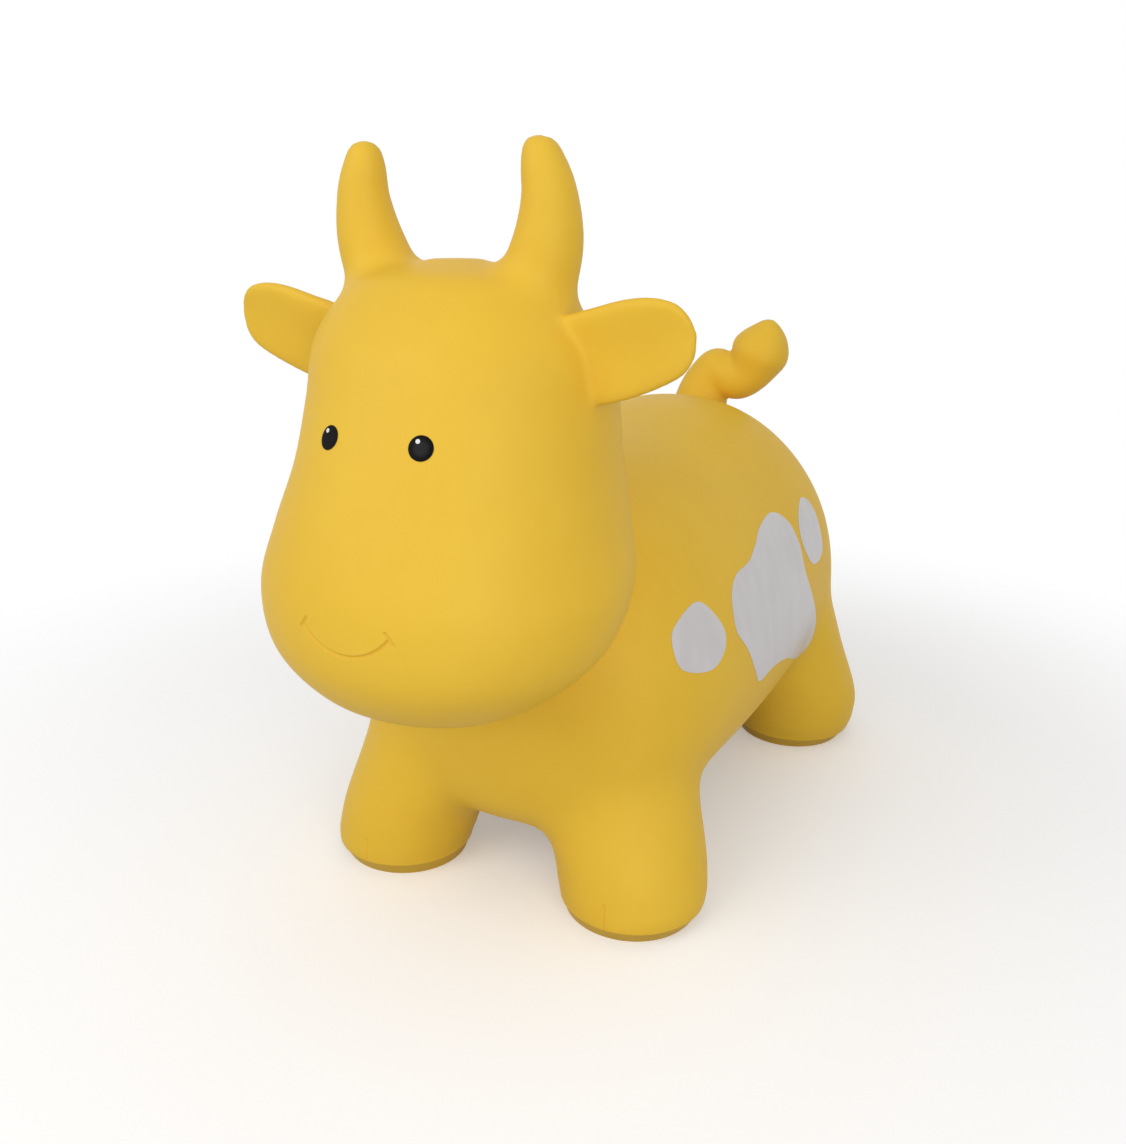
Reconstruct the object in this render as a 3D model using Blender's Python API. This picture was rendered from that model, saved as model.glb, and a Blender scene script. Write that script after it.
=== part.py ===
"""Inflatable bouncing cow for a small child: one hollow vinyl skin, a belly valve and printed marks.

Metres, Z up. The cow stands on the floor at z = 0, faces -Y and has its left side at +X. The origin
is on the floor, below the middle of its length. The skin is moulded in one piece, so it is built
from overlapping closed forms (body, neck, head, legs, horns, ears, tail) that are merged, smoothed
where they meet, cut flat at the soles and then hollowed.
"""
import math

import bmesh
import bpy
import numpy as np
from mathutils import Vector
from mathutils.bvhtree import BVHTree

X_AXIS = Vector((1, 0, 0))
Y_AXIS = Vector((0, 1, 0))
Z_AXIS = Vector((0, 0, 1))

# Body: a long egg along Y, wider below than above
BODY_FRONT_Y = -0.166
BODY_LENGTH = 0.462
BODY_BOTTOM_Z = 0.043
BODY_HEIGHT = 0.275
BODY_WIDTH = 0.298
BODY_EGG_SHARE = 0.14
BODY_POWER = 2.25
BODY_REAR_Y = BODY_FRONT_Y + BODY_LENGTH
# each row: place along the length, underside, back line, width
BODY_SHARES = (
    (0.00, 0.29, 0.46, 0.15),
    (0.03, 0.11, 0.68, 0.54),
    (0.09, 0.03, 0.83, 0.80),
    (0.20, 0.00, 0.92, 0.93),
    (0.35, 0.00, 0.96, 0.98),
    (0.53, 0.00, 0.98, 1.00),
    (0.71, 0.00, 1.01, 1.00),
    (0.83, 0.01, 0.99, 0.98),
    (0.92, 0.05, 0.87, 0.90),
    (0.98, 0.17, 0.69, 0.68),
    (1.00, 0.34, 0.53, 0.18),
)

# Neck: fills the corner between the head and the back
NECK_FRONT_Y = -0.190
NECK_LENGTH = 0.140
NECK_BOTTOM_Z = 0.240
NECK_HEIGHT = 0.110
NECK_WIDTH = 0.150
# each row: height, front, back, width
NECK_SHARES = (
    (0.00, 0.20, 1.00, 0.90),
    (0.45, 0.05, 0.93, 1.00),
    (1.00, 0.00, 0.72, 0.90),
)

# Head: a tall pear with full cheeks at its lower end
HEAD_FRONT_Y = -0.296
HEAD_DEPTH = 0.220
HEAD_BOTTOM_Z = 0.176
HEAD_HEIGHT = 0.278
HEAD_WIDTH = 0.232
HEAD_POWER = 2.1
# each row: height, front, back, width
HEAD_SHARES = (
    (0.00, 0.37, 0.47, 0.10),
    (0.04, 0.21, 0.65, 0.46),
    (0.09, 0.09, 0.78, 0.70),
    (0.19, 0.01, 0.88, 0.94),
    (0.32, 0.00, 0.97, 1.02),
    (0.45, 0.04, 1.02, 0.945),
    (0.58, 0.11, 1.03, 0.86),
    (0.71, 0.18, 1.00, 0.83),
    (0.83, 0.24, 0.90, 0.79),
    (0.92, 0.32, 0.79, 0.64),
    (0.97, 0.39, 0.70, 0.48),
    (1.00, 0.52, 0.63, 0.13),
)

# Legs: short round stumps that spread into the body
LEG_HEIGHT = 0.140
FRONT_FOOT_X = 0.0980
FRONT_FOOT_Y = -0.1125
FRONT_FOOT_STAGGER = 0.0045
FRONT_FOOT_RADIUS = 0.0555
REAR_FOOT_X = 0.1216
REAR_FOOT_INSET = 0.073
REAR_FOOT_Y = BODY_REAR_Y - REAR_FOOT_INSET
REAR_FOOT_RADIUS = 0.0550
# each row: height, step towards the middle of the body in X and in Y in foot radii, half width, half depth
FRONT_LEG_SHARES = (
    (-0.10, 0.07, -0.06, 0.60, 0.58),
    (-0.04, 0.05, -0.05, 0.83, 0.79),
    (0.00, 0.04, -0.04, 0.88, 0.84),
    (0.05, 0.02, -0.03, 0.935, 0.905),
    (0.10, 0.02, -0.01, 0.97, 0.95),
    (0.16, 0.05, 0.03, 0.99, 0.98),
    (0.33, 0.16, 0.13, 1.02, 1.03),
    (0.67, 0.53, 0.35, 1.16, 1.10),
    (1.00, 0.84, 0.60, 1.28, 1.28),
)
REAR_LEG_SHARES = (
    (-0.10, 0.08, 0.00, 0.60, 0.60),
    (-0.04, 0.07, 0.00, 0.84, 0.84),
    (0.00, 0.05, 0.00, 0.88, 0.88),
    (0.05, 0.02, 0.00, 0.94, 0.94),
    (0.10, 0.00, 0.00, 0.985, 0.98),
    (0.17, 0.00, 0.01, 1.03, 1.02),
    (0.33, 0.05, 0.04, 1.08, 1.06),
    (0.67, 0.28, 0.24, 1.08, 1.05),
    (1.00, 0.52, 0.50, 1.12, 1.12),
    (1.25, 0.80, 0.80, 1.05, 1.10),
)

# Horns: curved cones, closer together at the tip than halfway up
HORN_SPREAD = 0.0645
HORN_Y = -0.1735
HORN_BOTTOM_Z = 0.420
HORN_HEIGHT = 0.1000
HORN_RADIUS = 0.0265
# each row: height, distance from the middle in spreads, step forward in radii, radius
HORN_SHARES = (
    (0.00, 0.67, -0.20, 0.95),
    (0.21, 0.83, -0.20, 0.86),
    (0.45, 0.96, -0.15, 0.76),
    (0.68, 0.99, -0.08, 0.61),
    (0.86, 0.94, -0.02, 0.48),
    (0.96, 0.90, 0.02, 0.33),
    (1.00, 0.89, 0.02, 0.10),
)

# Ears: leaves that stand out sideways, dished on the front face
EAR_ROOT_X = 0.074
EAR_TIP_X = 0.1575
EAR_Y = -0.179
EAR_Z = 0.4020
EAR_HEIGHT = 0.0525
EAR_THICKNESS = 0.027
EAR_RISE = 0.020
EAR_SWEEP = 0.005
EAR_FACING = (0.25, -1.0, -0.12)
EAR_DISH_SHARE = 0.75
# each row: way from root to tip, rise, sweep forward, half height, half thickness
EAR_SHARES = (
    (0.00, -0.20, 0.00, 0.98, 1.00),
    (0.32, 0.10, 0.30, 1.03, 0.95),
    (0.62, 0.50, 0.65, 0.98, 0.85),
    (0.84, 0.74, 0.90, 0.80, 0.70),
    (0.95, 0.84, 1.00, 0.50, 0.45),
    (1.00, 0.88, 1.00, 0.08, 0.10),
)

# Tail: rises from the rump, folds over to the cow's left and ends in a pointed tuft
TAIL_INSET = 0.038
TAIL_Y = BODY_REAR_Y - TAIL_INSET
TAIL_ROOT_Z = 0.265
TAIL_RISE = 0.119
TAIL_REACH = 0.066
TAIL_RADIUS = 0.024
# each row: reach to the left, rise, step back in radii, radius
TAIL_SHARES = (
    (0.00, -0.32, -1.90, 0.90),
    (0.00, -0.06, -1.10, 1.04),
    (0.00, 0.18, -0.30, 1.06),
    (0.04, 0.44, 0.00, 0.94),
    (0.12, 0.60, 0.00, 0.84),
    (0.32, 0.58, 0.00, 0.83),
    (0.52, 0.54, 0.00, 0.83),
    (0.70, 0.61, 0.05, 0.90),
    (0.83, 0.75, 0.10, 1.12),
    (0.91, 0.86, 0.10, 0.92),
    (0.97, 0.96, 0.10, 0.46),
    (1.00, 1.00, 0.10, 0.12),
)

# How far each form blends into what carries it
NECK_BLEND = 0.030
HEAD_BLEND = 0.014
FRONT_LEG_BLEND = 0.075
REAR_LEG_BLEND = 0.045
HORN_BLEND = 0.018
EAR_BLEND = 0.005
TAIL_BLEND = 0.014

# Skin: soft vinyl of one thickness
WALL = 0.0020
# size of the cells that merge the forms, then how the merged surface is smoothed
GRAIN = 0.004
SMOOTHING_ROUNDS = 90
SMOOTHING_STEP_SHARE = 0.5
EVEN_SMOOTHING_SHARE = 0.03
# the feet keep their shape up to this height, and the full smoothing comes in above it
FOOT_PLAIN_HEIGHT = 0.012
FOOT_EASE = 0.030
# triangles of the outer surface once it is reduced
SKIN_TRIANGLES = 4200

# Points round each kind of section, and steps from one row of a table to the next
SECTION_POINTS = 40
TUBE_POINTS = 24
EAR_POINTS = 32
ROW_STEPS = 5

# Valve: a hard collar pressed into a boss under the belly, closed by a stopper
VALVE_Y = 0.060
BOSS_RADIUS = 0.0135
BOSS_HEIGHT = 0.011
COLLAR_FLANGE_RADIUS = 0.0095
COLLAR_FLANGE_THICKNESS = 0.0014
COLLAR_SLEEVE_RADIUS = 0.0055
COLLAR_BEAD_WIDTH = 0.0008
COLLAR_BEAD_HEIGHT = 0.0016
STOPPER_HEAD_RADIUS = 0.0072
STOPPER_HEAD_THICKNESS = 0.0020
STOPPER_SHANK_RADIUS = 0.0032
STOPPER_SHANK_LENGTH = 0.0125
STOPPER_NOSE = 0.0010
STOPPER_RIB_HEIGHT = 0.0003
STOPPER_RIBS = 3
GRIP_LENGTH = 0.0090
GRIP_THICKNESS = 0.0024
GRIP_DROP = 0.0040
FIT_GAP = 0.0003
VALVE_SIDES = 20

# Printed marks: thin films that follow the skin
FILM = 0.0004
EYE_X = 0.0310
EYE_Z = 0.3600
EYE_RADIUS = 0.0072
EYE_TURN = math.radians(15)
EYE_TILT = math.radians(22)
EYE_SIDES = 32
HIGHLIGHT_RADIUS = 0.0013
HIGHLIGHT_X = -0.0022
HIGHLIGHT_Z = 0.0034
HIGHLIGHT_SIDES = 16
# half the depth of the outline prism that trims an eye
PRINT_REACH = 0.012

# Patches: each one's middle, size and outline in shares of its size, the same on both flanks
PATCH_STEPS = 3
FRONT_PATCH_Y = -0.076
FRONT_PATCH_Z = 0.2015
FRONT_PATCH_LENGTH = 0.056
FRONT_PATCH_HEIGHT = 0.046
FRONT_PATCH_SHARES = (
    (0.21, 0.49), (0.00, 0.50), (-0.34, 0.33), (-0.48, 0.14), (-0.49, -0.21), (-0.33, -0.38),
    (0.04, -0.49), (0.29, -0.42), (0.46, -0.25), (0.50, -0.02), (0.38, 0.27),
)
MIDDLE_PATCH_Y = 0.066
MIDDLE_PATCH_Z = 0.177
MIDDLE_PATCH_LENGTH = 0.194
MIDDLE_PATCH_HEIGHT = 0.144
MIDDLE_PATCH_SHARES = (
    (0.15, 0.50), (-0.02, 0.47), (-0.12, 0.42), (-0.24, 0.37), (-0.38, 0.35), (-0.47, 0.27),
    (-0.50, 0.12), (-0.43, -0.01), (-0.37, -0.15), (-0.31, -0.25), (-0.15, -0.25), (0.02, -0.29),
    (0.22, -0.40), (0.41, -0.50), (0.49, -0.44), (0.50, -0.28), (0.40, -0.09), (0.31, 0.11),
    (0.30, 0.28), (0.26, 0.42),
)
REAR_PATCH_Y = 0.160
REAR_PATCH_Z = 0.218
REAR_PATCH_LENGTH = 0.056
REAR_PATCH_HEIGHT = 0.054
REAR_PATCH_SHARES = (
    (0.16, 0.50), (-0.07, 0.46), (-0.38, 0.26), (-0.50, -0.04), (-0.34, -0.35), (-0.10, -0.50),
    (0.28, -0.50), (0.48, -0.33), (0.49, 0.13), (0.38, 0.37),
)

# Smile: a groove along an arc with a short tick across each end
SMILE_RADIUS = 0.038
SMILE_HALF_WIDTH = 0.0305
SMILE_LOW_Z = 0.2472
SMILE_POINTS = 17
TICK_HALF_LENGTH = 0.0042
GROOVE_RADIUS = 0.0010
GROOVE_DEPTH = 0.0007

# How far a cut runs past what it cuts
OVERRUN = 0.004

# Colour and roughness of each material
SKIN_COLOUR = (0.86, 0.52, 0.045)
SKIN_ROUGHNESS = 0.5
VALVE_COLOUR = (0.80, 0.79, 0.76)
VALVE_ROUGHNESS = 0.4
EYE_COLOUR = (0.016, 0.016, 0.018)
EYE_ROUGHNESS = 0.45
HIGHLIGHT_COLOUR = (0.85, 0.85, 0.85)
PATCH_COLOUR = (0.70, 0.67, 0.66)
PRINT_ROUGHNESS = 0.5
# edges that bend more than this are drawn sharp
SHARP_ANGLE = math.radians(40)


def clear_scene():
    for thing in list(bpy.data.objects):
        bpy.data.objects.remove(thing, do_unlink=True)


def smooth_rows(rows, steps=ROW_STEPS):
    """Rows of numbers on a smooth curve through the given rows, a Catmull-Rom curve."""
    table = np.array(rows, dtype=float)
    before = np.vstack([2 * table[0] - table[1], table[:-1]])
    after = np.vstack([table[1:], 2 * table[-1] - table[-2]])
    slopes = (after - before) / 2
    curve = []
    for i in range(len(table) - 1):
        for step in range(steps):
            t = step / steps
            curve.append(
                (2 * t**3 - 3 * t**2 + 1) * table[i]
                + (t**3 - 2 * t**2 + t) * slopes[i]
                + (3 * t**2 - 2 * t**3) * table[i + 1]
                + (t**3 - t**2) * slopes[i + 1]
            )
    curve.append(table[-1])
    return curve


def signed_power(value, power):
    return math.copysign(abs(value) ** power, value)


def ring(centre, across, along, half_across, half_along, power=2.0, egg=0.0, dish=0.0, points=SECTION_POINTS):
    """Points of an oval section. Egg narrows it towards +along, dish hollows its +along side."""
    outline = []
    for k in range(points):
        angle = math.tau * k / points
        u = signed_power(math.cos(angle), 2 / power)
        v = signed_power(math.sin(angle), 2 / power)
        u *= 1 - egg * v
        if v > 0:
            v -= dish * v * v
        outline.append(centre + across * (u * half_across) + along * (v * half_along))
    return outline


def loft(rings):
    """A closed mesh through a stack of rings."""
    shape = bmesh.new()
    loops = [[shape.verts.new(point) for point in outline] for outline in rings]
    for low, high in zip(loops, loops[1:]):
        for k in range(len(low)):
            follow = (k + 1) % len(low)
            shape.faces.new((low[k], low[follow], high[follow], high[k]))
    shape.faces.new(loops[0][::-1])
    shape.faces.new(loops[-1])
    bmesh.ops.recalc_face_normals(shape, faces=shape.faces)
    mesh = bpy.data.meshes.new("form")
    shape.to_mesh(mesh)
    shape.free()
    return mesh


def body_form():
    rings = []
    for place, under, back, width in smooth_rows(BODY_SHARES):
        low = BODY_BOTTOM_Z + under * BODY_HEIGHT
        high = BODY_BOTTOM_Z + back * BODY_HEIGHT
        centre = Vector((0, BODY_FRONT_Y + place * BODY_LENGTH, (low + high) / 2))
        rings.append(ring(
            centre,
            X_AXIS,
            Z_AXIS,
            width * BODY_WIDTH / 2,
            (high - low) / 2,
            power=BODY_POWER,
            egg=BODY_EGG_SHARE,
        ))
    return loft(rings)


def upright_form(rows, bottom, height, front, depth, width, power=2.0):
    """A form of level sections, each given by its height, front, back and width shares."""
    rings = []
    for level, fore, aft, wide in smooth_rows(rows):
        near = front + fore * depth
        far = front + aft * depth
        centre = Vector((0, (near + far) / 2, bottom + level * height))
        rings.append(ring(centre, X_AXIS, Y_AXIS, wide * width / 2, (far - near) / 2, power=power))
    return loft(rings)


def neck_form():
    return upright_form(NECK_SHARES, NECK_BOTTOM_Z, NECK_HEIGHT, NECK_FRONT_Y, NECK_LENGTH, NECK_WIDTH)


def head_form():
    return upright_form(
        HEAD_SHARES, HEAD_BOTTOM_Z, HEAD_HEIGHT, HEAD_FRONT_Y, HEAD_DEPTH, HEAD_WIDTH, power=HEAD_POWER
    )


def front_foot_y(side):
    """The left front foot stands a little further back than the right one."""
    return FRONT_FOOT_Y + side * FRONT_FOOT_STAGGER


def leg_form(rows, side, foot_x, foot_y, radius):
    inwards_y = math.copysign(radius, -foot_y)
    rings = []
    for level, step_x, step_y, wide, deep in smooth_rows(rows):
        centre = Vector((
            side * (foot_x - step_x * radius),
            foot_y + step_y * inwards_y,
            level * LEG_HEIGHT,
        ))
        rings.append(ring(centre, X_AXIS, Y_AXIS, wide * radius, deep * radius))
    return loft(rings)


def path_frames(places):
    """The direction of travel at each place of a path."""
    directions = []
    for i in range(len(places)):
        step = places[min(i + 1, len(places) - 1)] - places[max(i - 1, 0)]
        directions.append(step.normalized())
    return directions


def tube_form(places, radii):
    rings = []
    for place, way, radius in zip(places, path_frames(places), radii):
        across = way.cross(Y_AXIS).normalized()
        rings.append(ring(place, across, way.cross(across), radius, radius, points=TUBE_POINTS))
    return loft(rings)


def horn_form(side):
    places = []
    radii = []
    for level, spread, forward, size in smooth_rows(HORN_SHARES):
        places.append(Vector((
            side * spread * HORN_SPREAD,
            HORN_Y - forward * HORN_RADIUS,
            HORN_BOTTOM_Z + level * HORN_HEIGHT,
        )))
        radii.append(size * HORN_RADIUS)
    return tube_form(places, radii)


def tail_form():
    places = []
    radii = []
    for reach, rise, back, size in smooth_rows(TAIL_SHARES):
        places.append(Vector((
            reach * TAIL_REACH,
            TAIL_Y + back * TAIL_RADIUS,
            TAIL_ROOT_Z + rise * TAIL_RISE,
        )))
        radii.append(size * TAIL_RADIUS)
    return tube_form(places, radii)


def ear_form(side):
    places = []
    sizes = []
    for way, rise, sweep, high, thick in smooth_rows(EAR_SHARES):
        places.append(Vector((
            side * (EAR_ROOT_X + way * (EAR_TIP_X - EAR_ROOT_X)),
            EAR_Y - sweep * EAR_SWEEP,
            EAR_Z + rise * EAR_RISE,
        )))
        sizes.append((high * EAR_HEIGHT / 2, thick * EAR_THICKNESS / 2))
    facing = Vector(EAR_FACING)
    facing.x *= side
    rings = []
    for place, way, (high, thick) in zip(places, path_frames(places), sizes):
        forward = (facing - way * facing.dot(way)).normalized()
        up = forward.cross(way)
        rings.append(ring(place, up, forward, high, thick, dish=EAR_DISH_SHARE, points=EAR_POINTS))
    return loft(rings)


def skin_forms():
    """Every form of the skin, what carries it and how far the two blend."""
    forms = [("body", body_form(), None, 0), ("neck", neck_form(), "body", NECK_BLEND)]
    forms.append(("head", head_form(), "body neck", HEAD_BLEND))
    for side in (-1, 1):
        forms.append((
            "front_leg",
            leg_form(FRONT_LEG_SHARES, side, FRONT_FOOT_X, front_foot_y(side), FRONT_FOOT_RADIUS),
            "body",
            FRONT_LEG_BLEND,
        ))
        forms.append((
            "rear_leg",
            leg_form(REAR_LEG_SHARES, side, REAR_FOOT_X, REAR_FOOT_Y, REAR_FOOT_RADIUS),
            "body",
            REAR_LEG_BLEND,
        ))
        forms.append(("horn", horn_form(side), "head", HORN_BLEND))
        forms.append(("ear", ear_form(side), "head", EAR_BLEND))
    forms.append(("tail", tail_form(), "body", TAIL_BLEND))
    return forms


def surface_tree(mesh):
    return BVHTree.FromPolygons([v.co for v in mesh.vertices], [p.vertices for p in mesh.polygons])


def distances_to(mesh, points):
    tree = surface_tree(mesh)
    return np.array([tree.find_nearest(point)[3] for point in points])


def evaluated_mesh(thing):
    """The mesh of an object after its modifiers."""
    graph = bpy.context.evaluated_depsgraph_get()
    return bpy.data.meshes.new_from_object(thing.evaluated_get(graph))


def add_object(name, mesh):
    thing = bpy.data.objects.new(name, mesh)
    bpy.context.scene.collection.objects.link(thing)
    return thing


def bake_modifiers(thing):
    mesh = evaluated_mesh(thing)
    thing.modifiers.clear()
    thing.data = mesh


def merged_skin(forms):
    """One mesh over all forms, with the corners between them smoothed."""
    joined = bmesh.new()
    for name, mesh, carriers, blend in forms:
        joined.from_mesh(mesh)
    mesh = bpy.data.meshes.new("skin")
    joined.to_mesh(mesh)
    joined.free()
    skin = add_object("skin", mesh)
    remesh = skin.modifiers.new("merge", "REMESH")
    remesh.mode = "VOXEL"
    remesh.voxel_size = GRAIN
    bake_modifiers(skin)

    points = [v.co.copy() for v in skin.data.vertices]
    gaps = [distances_to(form[1], points) for form in forms]
    weights = np.full(len(points), EVEN_SMOOTHING_SHARE)
    for i, (name, mesh, carriers, blend) in enumerate(forms):
        for j, other in enumerate(forms):
            if carriers and other[0] in carriers.split():
                apart = np.maximum(gaps[i], gaps[j])
                weights = np.maximum(weights, 1 - apart / blend)
    heights = np.array([point.z for point in points])
    ease = np.clip((heights - FOOT_PLAIN_HEIGHT) / FOOT_EASE, 0, 1)
    weights = EVEN_SMOOTHING_SHARE + (weights - EVEN_SMOOTHING_SHARE) * ease
    group = skin.vertex_groups.new(name="corners")
    for index, weight in enumerate(weights):
        group.add([index], float(weight), "REPLACE")
    smooth = skin.modifiers.new("smooth", "SMOOTH")
    smooth.factor = SMOOTHING_STEP_SHARE
    smooth.iterations = SMOOTHING_ROUNDS
    smooth.vertex_group = "corners"
    bake_modifiers(skin)
    return skin


def cut_soles(skin):
    """Cut the feet flat at the floor."""
    shape = bmesh.new()
    shape.from_mesh(skin.data)
    everything = shape.verts[:] + shape.edges[:] + shape.faces[:]
    floor = Vector((0, 0, 0))
    bmesh.ops.bisect_plane(shape, geom=everything, plane_co=floor, plane_no=Z_AXIS, clear_inner=True)
    rims = [edge for edge in shape.edges if edge.is_boundary]
    soles = bmesh.ops.holes_fill(shape, edges=rims)["faces"]
    bmesh.ops.triangulate(shape, faces=soles)
    shape.to_mesh(skin.data)
    shape.free()


def hollowed(skin):
    """Give the skin its wall, inwards from the outer surface."""
    wall = skin.modifiers.new("wall", "SOLIDIFY")
    wall.thickness = WALL
    wall.offset = -1
    bake_modifiers(skin)


def turned(name, profile):
    """A closed solid turned about Z from a profile of radius and height, both ends on the axis."""
    shape = bmesh.new()
    rings = []
    for radius, height in profile:
        if radius == 0:
            rings.append([shape.verts.new((0, 0, height))])
            continue
        points = []
        for k in range(VALVE_SIDES):
            angle = math.tau * k / VALVE_SIDES
            points.append(shape.verts.new((radius * math.cos(angle), radius * math.sin(angle), height)))
        rings.append(points)
    if len(rings[0]) > 1:
        rings.append(rings[0])
    for low, high in zip(rings, rings[1:]):
        for k in range(VALVE_SIDES):
            follow = (k + 1) % VALVE_SIDES
            corners = []
            for loop, place in ((low, k), (low, follow), (high, follow), (high, k)):
                vert = loop[place % len(loop)]
                if vert not in corners:
                    corners.append(vert)
            shape.faces.new(corners)
    bmesh.ops.recalc_face_normals(shape, faces=shape.faces)
    mesh = bpy.data.meshes.new(name)
    shape.to_mesh(mesh)
    shape.free()
    return add_object(name, mesh)


def hide_cutter(thing):
    thing.hide_render = True
    thing.display_type = "WIRE"


def apply_boolean(thing, other, operation):
    cut = thing.modifiers.new("cut", "BOOLEAN")
    cut.operation = operation
    cut.solver = "EXACT"
    cut.object = other
    hide_cutter(other)
    bake_modifiers(thing)
    bpy.data.objects.remove(other, do_unlink=True)


def valve_levels(tree):
    """Heights of the belly surface, of the pad that the collar's flange lies on and of the boss's end."""
    belly = tree.ray_cast(Vector((0, VALVE_Y, -OVERRUN)), Z_AXIS)[0].z
    pad = belly + COLLAR_FLANGE_THICKNESS + FIT_GAP
    return belly, pad, pad + BOSS_HEIGHT


def cut_valve_seat(skin, tree):
    """Thicken the belly round the valve, sink a flat pad for the flange and bore through."""
    belly, pad, end = valve_levels(tree)
    bore = COLLAR_SLEEVE_RADIUS + FIT_GAP
    root = belly + WALL / 2
    boss = turned("boss", ((0, root), (BOSS_RADIUS, root), (BOSS_RADIUS, end), (0, end)))
    boss.location.y = VALVE_Y
    apply_boolean(skin, boss, "UNION")
    recess = COLLAR_FLANGE_RADIUS + FIT_GAP
    low = belly - OVERRUN
    high = end + OVERRUN
    cutter = turned("seat_cut", (
        (0, low),
        (recess, low),
        (recess, pad),
        (bore, pad),
        (bore, high),
        (0, high),
    ))
    cutter.location.y = VALVE_Y
    apply_boolean(skin, cutter, "DIFFERENCE")


def valve_collar(tree):
    """A flanged sleeve, snapped through the boss with a bead at its inner end."""
    belly, pad, end = valve_levels(tree)
    hole = STOPPER_SHANK_RADIUS + FIT_GAP
    seat = pad - FIT_GAP
    bead = COLLAR_SLEEVE_RADIUS + COLLAR_BEAD_WIDTH
    top = end + FIT_GAP + COLLAR_BEAD_HEIGHT
    collar = turned("valve_collar", (
        (hole, belly),
        (COLLAR_FLANGE_RADIUS, belly),
        (COLLAR_FLANGE_RADIUS, seat),
        (COLLAR_SLEEVE_RADIUS, seat),
        (COLLAR_SLEEVE_RADIUS, end + FIT_GAP),
        (bead, end + FIT_GAP),
        (COLLAR_SLEEVE_RADIUS, top),
        (hole, top),
    ))
    collar.location.y = VALVE_Y
    return collar


def valve_stopper(tree):
    """A ribbed stopper that pulls straight down, with a fin below its head to hold it by."""
    belly = valve_levels(tree)[0]
    face = belly - FIT_GAP
    core = STOPPER_SHANK_RADIUS - STOPPER_RIB_HEIGHT
    pitch = (STOPPER_SHANK_LENGTH - STOPPER_NOSE) / (STOPPER_RIBS + 1)
    profile = [
        (0, -STOPPER_HEAD_THICKNESS),
        (STOPPER_HEAD_RADIUS - STOPPER_RIB_HEIGHT, -STOPPER_HEAD_THICKNESS),
        (STOPPER_HEAD_RADIUS, -STOPPER_HEAD_THICKNESS / 2),
        (STOPPER_HEAD_RADIUS, 0),
        (core, 0),
    ]
    for k in range(1, STOPPER_RIBS + 1):
        profile.append((core, k * pitch - STOPPER_RIB_HEIGHT))
        profile.append((STOPPER_SHANK_RADIUS, k * pitch))
        profile.append((core, k * pitch + STOPPER_RIB_HEIGHT))
    profile.append((core, STOPPER_SHANK_LENGTH - STOPPER_NOSE))
    profile.append((core - STOPPER_NOSE, STOPPER_SHANK_LENGTH))
    profile.append((0, STOPPER_SHANK_LENGTH))
    stopper = turned("valve_stopper", profile)
    sunk = STOPPER_HEAD_THICKNESS / 2
    grip = box("grip", GRIP_THICKNESS, GRIP_LENGTH, GRIP_DROP + sunk)
    grip.location.z = -sunk - (GRIP_DROP + sunk) / 2
    apply_boolean(stopper, grip, "UNION")
    stopper.location = (0, VALVE_Y, face)
    return stopper


def box(name, size_x, size_y, size_z):
    """A box about its own centre."""
    shape = bmesh.new()
    bmesh.ops.create_cube(shape, size=1)
    bmesh.ops.scale(shape, vec=(size_x, size_y, size_z), verts=shape.verts)
    mesh = bpy.data.meshes.new(name)
    shape.to_mesh(mesh)
    shape.free()
    return add_object(name, mesh)


def smooth_loop(points, steps=PATCH_STEPS):
    """A closed outline on a smooth curve through the given points."""
    wrapped = smooth_rows(points[-2:] + points + points[:2], steps)
    return wrapped[2 * steps: (2 + len(points)) * steps]


def prism(outline, reach):
    """A closed prism: the outline, swept along the reach."""
    shape = bmesh.new()
    low = [shape.verts.new(point) for point in outline]
    high = [shape.verts.new(point + reach) for point in outline]
    for k in range(len(low)):
        follow = (k + 1) % len(low)
        shape.faces.new((low[k], low[follow], high[follow], high[k]))
    shape.faces.new(low[::-1])
    shape.faces.new(high)
    bmesh.ops.recalc_face_normals(shape, faces=shape.faces)
    mesh = bpy.data.meshes.new("print_outline")
    shape.to_mesh(mesh)
    shape.free()
    return add_object("print_outline", mesh)


def film(name, outer, cutter, gap):
    """A thin print: the outer skin inside the cutter's outline, lifted by the gap."""
    corners = [vert.co for vert in cutter.data.vertices]
    low = Vector(min(c[i] for c in corners) for i in range(3))
    high = Vector(max(c[i] for c in corners) for i in range(3))
    shape = bmesh.new()
    shape.from_mesh(outer)
    far = []
    for face in shape.faces:
        spots = [vert.co for vert in face.verts]
        apart = False
        for i in range(3):
            values = [spot[i] for spot in spots]
            if max(values) < low[i] or min(values) > high[i]:
                apart = True
        if apart:
            far.append(face)
    bmesh.ops.delete(shape, geom=far, context="FACES")
    mesh = bpy.data.meshes.new(name)
    shape.to_mesh(mesh)
    shape.free()
    piece = add_object(name, mesh)
    lift = piece.modifiers.new("lift", "DISPLACE")
    lift.mid_level = 0
    lift.strength = gap
    body = piece.modifiers.new("body", "SOLIDIFY")
    body.thickness = FILM
    body.offset = 1
    bake_modifiers(piece)
    apply_boolean(piece, cutter, "INTERSECT")
    return piece


def disc_prism(centre, direction, radius, points):
    """A round prism along a direction, centred on a point."""
    across = direction.cross(Z_AXIS).normalized()
    along = direction.cross(across)
    start = centre - direction * PRINT_REACH
    outline = []
    for k in range(points):
        angle = math.tau * k / points
        outline.append(start + across * (radius * math.cos(angle)) + along * (radius * math.sin(angle)))
    return prism(outline, direction * (2 * PRINT_REACH))


def face_spot(tree, x, z):
    """The point of the head's front at a given side place and height."""
    start = Vector((x, HEAD_FRONT_Y - OVERRUN, z))
    return tree.ray_cast(start, Y_AXIS)[0]


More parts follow.
